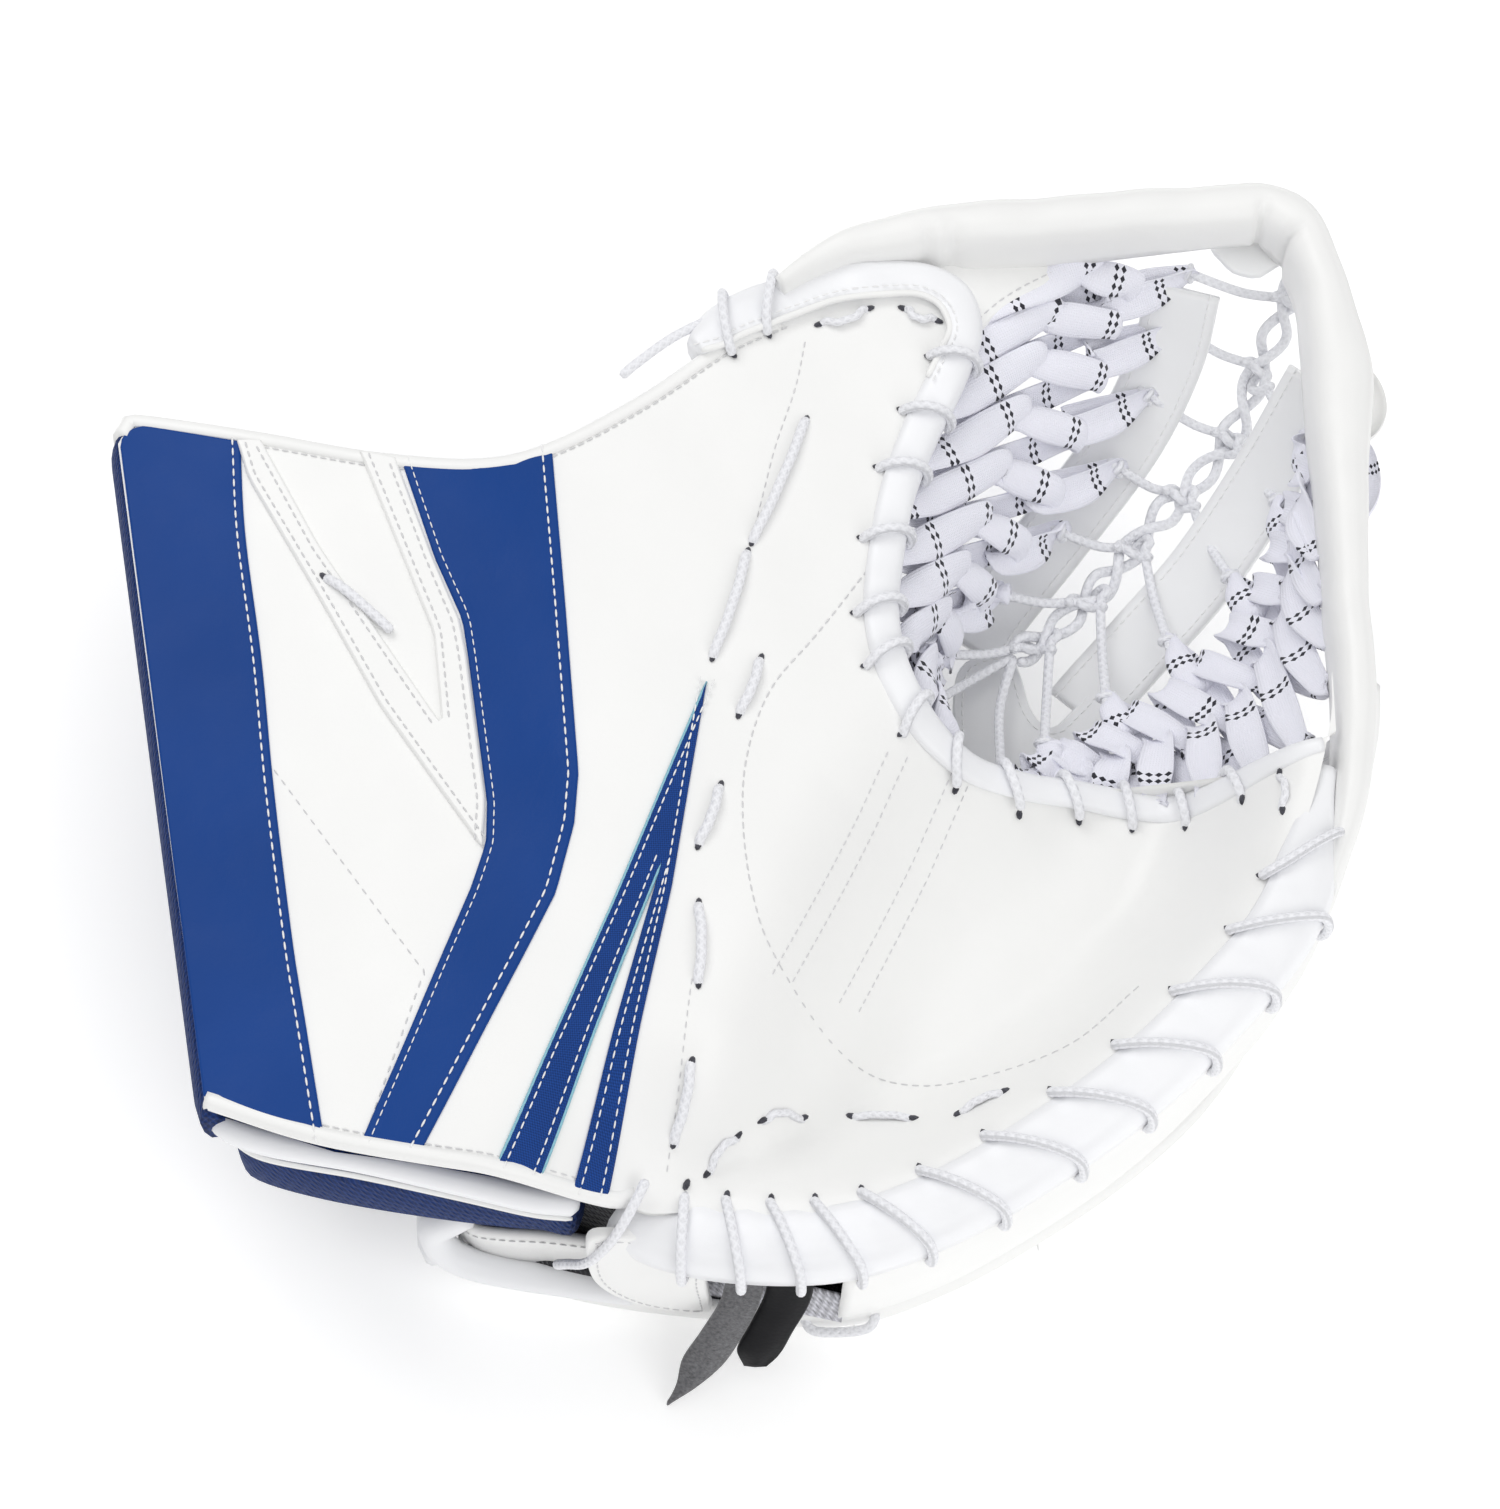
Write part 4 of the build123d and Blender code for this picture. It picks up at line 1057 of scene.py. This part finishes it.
def binding_turn(bag, centre, way, radius=2.4, cord=1.1, points=26):
    """A cord wound once round the end of a lace."""
    way = unit(way)
    side = unit(np.cross(way, (0, 0, 1)))
    up = np.cross(side, way)
    a = np.linspace(0, 2 * math.pi * 1.1, points)
    path = (np.array(centre) + radius * (np.cos(a)[:, None] * side + np.sin(a)[:, None] * up * 0.8)
            + np.linspace(-1, 1, points)[:, None] * way)
    bag.add(*tube(path, cord, 8))


thumb_links, finger_links = Bag(), Bag()
for tip, spot in zip(thumb_ends, along_curve(CHAIN, np.linspace(0.08, 0.97, 7))):
    tie(thumb_links, tip, spot, sag=2.0)
    binding_turn(thumb_links, tip - unit(spot - tip) * 1.5, spot - tip)
for tip, spot in zip(finger_ends, along_curve(CHAIN, np.linspace(0.24, 0.92, 6))):
    tie(finger_links, tip, spot + np.array([1.5, -2, 0]))
    binding_turn(finger_links, tip - unit(spot - tip) * 1.5, spot - tip)
for x, y, z in ((57, 13, 70), (78, -5, 62)):
    middle = ((CHAIN[-1][0] + x) / 2 - 2, (CHAIN[-1][1] + y) / 2 + 3, 50)
    chain.cord([CHAIN[-1], middle, (x, y, z)])
piece("chain_cords", chain, "cord", "hand_shell", ("centre_chain",))
piece("thumb_link_cords", thumb_links, "cord", None, fold=NET_FOLD)
piece("finger_link_cords", finger_links, "cord", "hand_shell")

# ---- straps behind the net -------------------------------------------------------------
def strap(path, wide, thick, look, body, name, stands_for, fold=LEATHER_FOLD):
    """A leather strap with rounded edges and stitch rows along its borders."""
    path = smooth(path, 2.0)
    side, up = carried_frame(path)
    w = wide / 2
    shape = np.array([(w, 0), (w - 0.5, thick * 0.9), (w - 3.2, thick * 0.75), (0, thick * 0.95),
                      (-w + 3.2, thick * 0.75), (-w + 0.5, thick * 0.9), (-w, 0),
                      (-w + 0.5, -thick * 0.6), (0, -thick * 0.6), (w - 0.5, -thick * 0.6)])
    bag = Bag().add(*sweep(path, side, up, shape))
    piece(name, bag, look, body, stands_for, fold=fold)
    rows = [path + side * s + up * thick * 0.8 for s in (w - 3.2, 3.2 - w)]
    stitching(name + "_stitching", rows, "thread", body, fold, place=as_given, **SEWN)


strap([(138.5, 147.5, 95), (134, 133, 76), (122, 114, 57), (100, 88, 43), (79, 62, 37),
       (71, 49, 35.2)], 24, 2.4, "backing", None, "thumb_t_strap", ("t_strap_thumb",), fold=NET_FOLD)
strap([(180, 112, 96), (165, 93, 70), (146, 70, 50), (127, 50, 41), (112, 34, 36.6), (105, 26, 35.2)],
      24, 2.4, "backing", "hand_shell", "finger_t_strap", ("t_strap_finger",))
T_BASE = [(68, -11), (65, 14), (66, 38), (74, 46), (83, 46), (87, 38), (90, 26), (96, 20), (103, 26),
          (112, 34), (121, 24), (128, -11)]
base_edge = smooth(T_BASE, 2.5, closed=True)[:-1]
base = patch(base_edge, 2.2, place=level(36), sink=1.5)
piece("t_base_leather", base, "backing", "hand_shell", ("t_base",))
base_row = np.column_stack([shifted(base_edge, 3.0), np.full(len(base_edge), 38.3)])
stitching("t_base_stitching", [base_row], "thread", "hand_shell", place=as_given, **SEWN)

# ---- backhand --------------------------------------------------------------------------
def pillow(outline, levels, step=6.0, relief=None):
    """A closed body of stacked rings (inset, z), filled at both ends; relief reshapes the lowest face."""
    outline = counterclockwise(outline)
    run = units(np.roll(outline, -1, axis=0) - np.roll(outline, 1, axis=0))
    inward = np.column_stack([-run[:, 1], run[:, 0]])
    n = len(outline)
    rings = [np.column_stack([outline + inward * shift, np.full(n, float(z))]) for shift, z in levels]
    bag = Bag().add(np.vstack(rings), ring_faces(len(levels), n), np.vstack([outline] * len(levels)))
    for (shift, z), end in ((levels[0], -1), (levels[-1], 1)):
        flat, tris = fill(outline + inward * shift, step)
        depth = np.full(len(flat), float(z))
        if relief and end < 0:
            depth += relief(flat)
        bag.add(np.column_stack([flat, depth]), [t[::end] for t in tris], flat)
    return bag


BACKHAND = [(-90, -146), (-60, -159), (-20, -166), (28, -169), (60, -159), (92, -141), (120, -121),
            (143, -99), (160, -72), (166, -40), (150, -8)]
BACKHAND_REST = [(150, -8), (100, 8), (0, 14), (-50, 4), (-90, -22)]
backhand_edge = np.vstack([smooth(BACKHAND, 4.0)[:-1], smooth(BACKHAND_REST, 4.0)[:-1],
                           resample([(-90, -22), (-90, -146)], 4.0)[:-1]])
BACK_SEAMS = [smooth([(-90, -60), (-30, -64), (30, -60), (70, -40), (96, 8)], 5.0),
              smooth([(-90, -112), (-20, -118), (50, -108), (98, -84), (150, -30)], 5.0),
              smooth([(20, 12), (14, -60), (20, -120), (30, -168)], 5.0),
              smooth([(84, 8), (82, -50), (92, -141)], 5.0)]


def seam_relief(flat):
    """Grooves pressed into the backhand along its seams."""
    near = np.min([np.abs(side_distance(flat, seam)) for seam in BACK_SEAMS], axis=0)
    return 1.3 * (1 - ease(near / 3.2))


shell = pillow(backhand_edge, [(6.5, 0), (3, 1.2), (0.8, 4), (0, 8), (0, 16), (0.8, 18.5), (2.6, 19.2),
                               (4, 16)], 3.2, seam_relief)
shell_obj = piece("backhand_leather", shell, "leather", "hand_shell", ("backhand_shell", "backhand_plate"))
lining_edge = pillow(backhand_edge, [(3.0, 15), (3.2, 18), (5.0, LINER)], 8.0)
piece("backhand_lining", lining_edge, "felt", "hand_shell", ("backhand_liner",))
SEAM_LEVEL = 0.62                              # height of the seams' stitches above the table
rows = []
for seam in BACK_SEAMS:
    for s in (-2.4, 2.4):
        line = shifted(seam, s)
        line = line[inside(line, backhand_edge)]
        rows.append(np.column_stack([line, np.full(len(line), SEAM_LEVEL)]))
stitching("backhand_stitching", rows, "thread", "hand_shell", place=as_given, pitch=4.0, length=2.7,
          radius=0.3)

# ---- wrist end, heel and cuff pad ------------------------------------------------------
collar_roll = Bag()
COLLAR = [(-84, -145, 46.5), (-90, -147, 43.5), (-95.5, -148, 36), (-93, -151, 26), (-84, -153.5, 19.5),
          (-66, -156, 16), (-46, -158.5, 15), (-34, -160, 15)]
collar_roll.cord(COLLAR, 5.2, 2.0, 14)
collar_roll.cord([(-93, -150, 22), (-96.5, -142, 19), (-97, -90, 18.5), (-97, -34, 19)], 6.0, 3.0, 14)
collar_obj = piece("collar_roll_leather", collar_roll, "rim", "hand_shell", ("collar_roll",))


def wall_strip(points, thick, look, name, body, stands_for=(), stitched=False):
    """An upright sheet following (x, y, low, high) points, with a rounded top."""
    line = smooth(points, 2.0)
    path = line[:, :3]
    side, up = upright(path)
    tall = (line[:, 3] - line[:, 2])[:, None]
    shape = np.array([(0.5, 0), (0.5, 0.8), (0.35, 0.96), (0, 1.0), (-0.35, 0.96), (-0.5, 0.8),
                      (-0.5, 0), (0, -0.02)])
    section = np.stack([np.repeat(shape[None, :, 0] * thick, len(path), axis=0),
                        shape[None, :, 1] * tall], axis=-1)
    bag = Bag().add(*sweep(path, side, up, section))
    piece(name, bag, look, body, stands_for)
    if stitched:
        row = np.column_stack([shifted(path, thick / 2 + 0.1), line[:, 3] - 3.0])
        stitching(name + "_stitching", [row[2:-2]], "fine", body, place=as_given, pitch=3.2, length=2.2,
                  radius=0.26)


wall_strip([(-88, -141, 20, 36), (-84, -147, 20, 37), (-74, -150, 20, 41), (-62, -151, 20, 42),
            (-46, -153, 20, 42)], 4, "leather", "collar_inner_pad", "hand_shell", ("collar_pad",),
           stitched=True)
wall_strip([(-93, -134, 20, 44), (-80, -139, 20, 46), (-60, -142, 20, 47), (-30, -148, 20, 66),
            (0, -155, 20, 74), (30, -160, 20, 78)], 1.5, "felt", "heel_lining", "hand_shell")
wall_strip([(60, -17, 22, 76), (84, -18, 22, 72), (106, -17, 22, 70), (130, -18, 22, 78),
            (154, -21, 22, 92)], 2.0, "leather", "pocket_gusset_leather", "hand_shell",
           ("pocket_gusset",))
wall_strip([(-14, -162, 19, 52), (-4, -164, 19, 50), (10, -167, 19, 46), (28, -171, 19, 44)], 1.6,
           "mesh", "heel_mesh", "hand_shell")


def curved_tab(outline, place, thick, look, name, body, stands_for=(), inset=3.0):
    """A flat piece cut to an outline in (across, up) and laid on a curved wall."""
    edge = smooth(outline, 2.0, closed=True)[:-1]
    bag = patch(edge, thick, step=3.0, place=place, sink=thick * 0.6)
    piece(name, bag, look, body, stands_for)
    row = shifted(np.vstack([edge, edge[:1]]), -inset if turns_left(edge) else inset)
    stitching(name + "_stitching", [row], "fine", body, place=lambda p, lift: place(p, thick + 0.1),
              pitch=3.4, length=2.3, radius=0.28)


def on_heel(p, lift):
    """Heel tab points (x, z) put on the bulging outer face of the heel."""
    p = np.atleast_2d(p)
    bulge = 3.2 * np.sin(np.clip((p[:, 1] - 15) / 70, 0, 1) * math.pi)
    y = -166.5 + 0.0022 * (p[:, 0] + 20) ** 2 - bulge
    return np.column_stack([p[:, 0], y - lift, p[:, 1]])


TAB = [(-46, 84), (-48, 66), (-45.5, 50), (-37, 35), (-27, 26), (-13, 21), (-12, 36), (-13, 58),
       (-11, 78), (-28, 86)]
curved_tab(TAB, on_heel, 2.0, "leather", "heel_tab_leather", "hand_shell", ("heel_tab",))
loose = Bag()
loose.cord([(-30, -155, 101), (-35, -163.5, 96), (-41, -168.5, 84), (-48, -169, 68), (-54.5, -165.5, 56),
            (-58, -163, 48)])
loose.cord([(16, -167, 13), (19, -171.5, 11), (27, -172, 10), (36, -171, 11), (39, -167, 13)])
piece("heel_cords", loose, "cord", "hand_shell")

PAD_EDGE = [(-151, -132), (-149, -140.5), (-128, -147.5), (-95, -153.5), (-64, -157), (-50, -155),
            (-47, -110), (-50, -74), (-60, -70), (-100, -66), (-143, -62), (-150, -70), (-152, -100)]
pad_edge = smooth(PAD_EDGE, 3.0, closed=True)[:-1]
pad = pillow(pad_edge, [(7, 56.5), (2.5, 57.5), (0.4, 62), (0, 72), (0, 84), (2, 91), (8, 92.5)], 6.0)
pad_obj = piece("wrist_pad_nylon", pad, "nylon", "thumb_cuff", ("wrist_pad",))
PIPING = [(-153, -126, 99), (-154, -136, 99.5), (-141, -142.3, 99), (-113, -147, 97), (-85, -152.5, 93.5),
          (-64, -156.5, 90), (-50, -157, 87)]
roll = Bag().cord(PIPING, 4.4, 2.0, 14)
roll_obj = piece("wrist_pad_piping", roll, "rim", "thumb_cuff", ("wrist_pad_roll",))
PIPING_SEAM = [(-152, -140, 94.5), (-141, -146.3, 94.2), (-113, -151, 92), (-85, -156.2, 88.5),
               (-64, -160, 85), (-52, -160.5, 82.5)]
piece("wrist_pad_seam", Bag().cord(PIPING_SEAM, 0.9, 2.0, 6), "leather", "thumb_cuff")
wall_strip([(-148, -128, 84, 103), (-120, -139, 84, 103), (-90, -144, 84, 101), (-66, -147, 84, 97),
            (-46, -149, 84, 93)], 2.0, "felt", "cuff_lining_edge", "thumb_cuff")


# ---- leather strap ends ----------------------------------------------------------------
def strap_tail(rows, thick, look, name, body, stands_for):
    """A flat strap end through rows of (left point, right point)."""
    left = smooth([a for a, _ in rows], 1.5)
    count = len(left)
    right = smooth([b for _, b in rows], 1.5)
    at = np.linspace(0, len(right) - 1, count)
    right = np.column_stack([np.interp(at, np.arange(len(right)), right[:, k]) for k in range(3)])
    run = tangents((left + right) / 2)
    wide = right - left
    out = units(np.cross(wide, run))
    out *= -np.sign(out[:, 1].mean())
    shares = np.array([0, 0.04, 0.5, 0.96, 1.0, 0.96, 0.5, 0.04])
    lifts = np.array([0, 0.5, 0.7, 0.5, 0, -0.5, -0.4, -0.5]) * thick
    verts = left[:, None] + wide[:, None] * shares[:, None] + out[:, None] * lifts[:, None]
    bag = Bag().add(verts.reshape(-1, 3), solid_faces(count, len(shares)))
    piece(name, bag, look, body, stands_for)


strap_tail([((-6.5, -168.5, 59), (5, -169.5, 59)), ((-9, -173.5, 46), (2.5, -175, 45)),
            ((-15, -178.5, 31), (-2.5, -180, 30)), ((-20.5, -183, 19), (-8, -184.5, 18)),
            ((-22.5, -188, 9), (-16, -189, 10)), ((-25.5, -192, 2.2), (-24.5, -192, 2.4))],
           1.8, "suede", "long_strap_tail", "strap_end_long", ("strap_end_long",))
strap_tail([((5.8, -168.5, 59), (19.5, -170.5, 58)), ((4, -172.5, 46), (17.8, -174.5, 46)),
            ((-0.5, -177, 32), (13, -179, 33)), ((-4, -181, 22), (9.5, -182, 22)),
            ((-2, -183, 13.5), (5.5, -184, 16))], 1.8, "black", "short_strap_tail", "strap_end_short",
           ("strap_end_short",))


# ---- inside the glove ------------------------------------------------------------------
def arch(paths, up, wide, look, name, body, stands_for, thick=2.4):
    """Soft straps bent over the fingers or the wrist; one path for each loop."""
    bag = Bag()
    for path in paths:
        path = smooth(path, 2.0)
        side, ups = carried_frame(path, up)
        w = wide / 2
        shape = [(w, 0), (w - 0.8, thick / 2), (0, thick / 2 + 0.4), (-w + 0.8, thick / 2), (-w, 0),
                 (-w + 0.8, -thick / 2), (w - 0.8, -thick / 2)]
        bag.add(*sweep(path, side, ups, shape))
    piece(name, bag, look, body, stands_for)


def over(x, low_y, high_y, bottom, top):
    """A loop across the hand: up, over and down."""
    bend = min(10.0, (high_y - low_y) * 0.25)
    return [(x, low_y, bottom), (x, low_y, top - bend), (x, low_y + bend * 0.3, top - bend * 0.3),
            (x, low_y + bend, top), (x, high_y - bend, top),
            (x, high_y - bend * 0.3, top - bend * 0.3), (x, high_y, top - bend), (x, high_y, bottom)]


arch([over(75, y, y + 23, LINER, 49) for y in (-126, -101, -76, -51)], (0, -1, 0), 18, "lining",
     "finger_loops", "hand_shell", ("finger_stalls",))
arch([over(15, -134.5, -45.5, LINER, 53.5)], (0, -1, 0), 30, "lining", "hand_loop", "hand_shell",
     ("hand_strap",))
arch([over(-71.5, -131, -43, LINER, 51)], (0, -1, 0), 25, "web", "wrist_loop", "hand_shell", ("wrist_strap",))
arch([[(-10, 28, 92), (-10, 28, 72), (-6, 28, 66), (5, 28, 65), (16, 28, 66), (20, 28, 72),
       (20, 28, 92)]], (-1, 0, 0), 24, "lining", "thumb_loop", "thumb_cuff", ("thumb_stall",))
ring = smooth([(-103.1, -111.5, 33), (-103.1, -110, 38), (-103.1, -90, 38.6), (-103.1, -70, 38),
               (-103.1, -68.5, 33), (-103.1, -70, 28), (-103.1, -90, 27.4), (-103.1, -110, 28)], 1.5,
              closed=True)
piece("strap_ring_wire", Bag().add(*tube(ring, 1.5, 10)), "plastic", "hand_shell", ("strap_ring",))
arch([[(-100.5, -90, 33), (-112, -90, 33.4), (-126, -90, 33.2), (-147, -90, 32.6)]], (0, 0, 1), 37, "web",
     "strap_tail_web", "wrist_strap_tail", ("wrist_strap_tail",), thick=1.8)
palm_edge = np.vstack([resample([(-30, -140), (-12, -80), (0, -30), (34, 0)], 6), pocket_foot[::3] - [0, 6],
                       shifted(FINGER_LINE, 20)[12:-4]])
flat, faces = fill(palm_edge[::-1], 6.0)
lining = Bag().add(lifted(flat, -2.6), faces, flat)
lining.add(lifted(flat, -4.4), [f[::-1] for f in faces], flat)
piece("palm_lining", lining, "felt", "hand_shell", ("palm_felt",))

# ---- stage -----------------------------------------------------------------------------
def stage():
    """Pale floor, soft studio light and an even white surround."""
    scene = bpy.context.scene
    scene.view_settings.view_transform = "Standard"
    world = bpy.data.worlds.new("studio")
    world.use_nodes = True
    background = world.node_tree.nodes["Background"]
    background.inputs["Color"].default_value = (1, 1, 1, 1)
    background.inputs["Strength"].default_value = 0.6
    scene.world = world
    size = 6.0
    mesh = bpy.data.meshes.new("floor")
    mesh.from_pydata([(-size, -size, 0), (size, -size, 0), (size, size, 0), (-size, size, 0)], [],
                     [(0, 1, 2, 3)])
    material, _, shader = new_material("floor", (0.97, 0.97, 0.97), 0.9)
    shader.inputs["Emission Color"].default_value = (1, 1, 1, 1)
    shader.inputs["Emission Strength"].default_value = 0.24
    mesh.materials.append(material)
    floor = bpy.data.objects.new("floor", mesh)
    bpy.context.collection.objects.link(floor)
    lights = [("key", (-0.7, 0.9, 1.6), 1.2, 9), ("fill", (0.9, -1.3, 1.3), 1.6, 9),
              ("top", (0.1, -0.2, 2.2), 1.6, 5.5)]
    for name, place, width, power in lights:
        data = bpy.data.lights.new(name, "AREA")
        data.shape = "DISK"
        data.size = width
        data.energy = power
        lamp = bpy.data.objects.new(name, data)
        lamp.location = place
        lamp.rotation_euler = (AIM - Vector(place)).to_track_quat("-Z", "Y").to_euler()
        bpy.context.collection.objects.link(lamp)


stage()
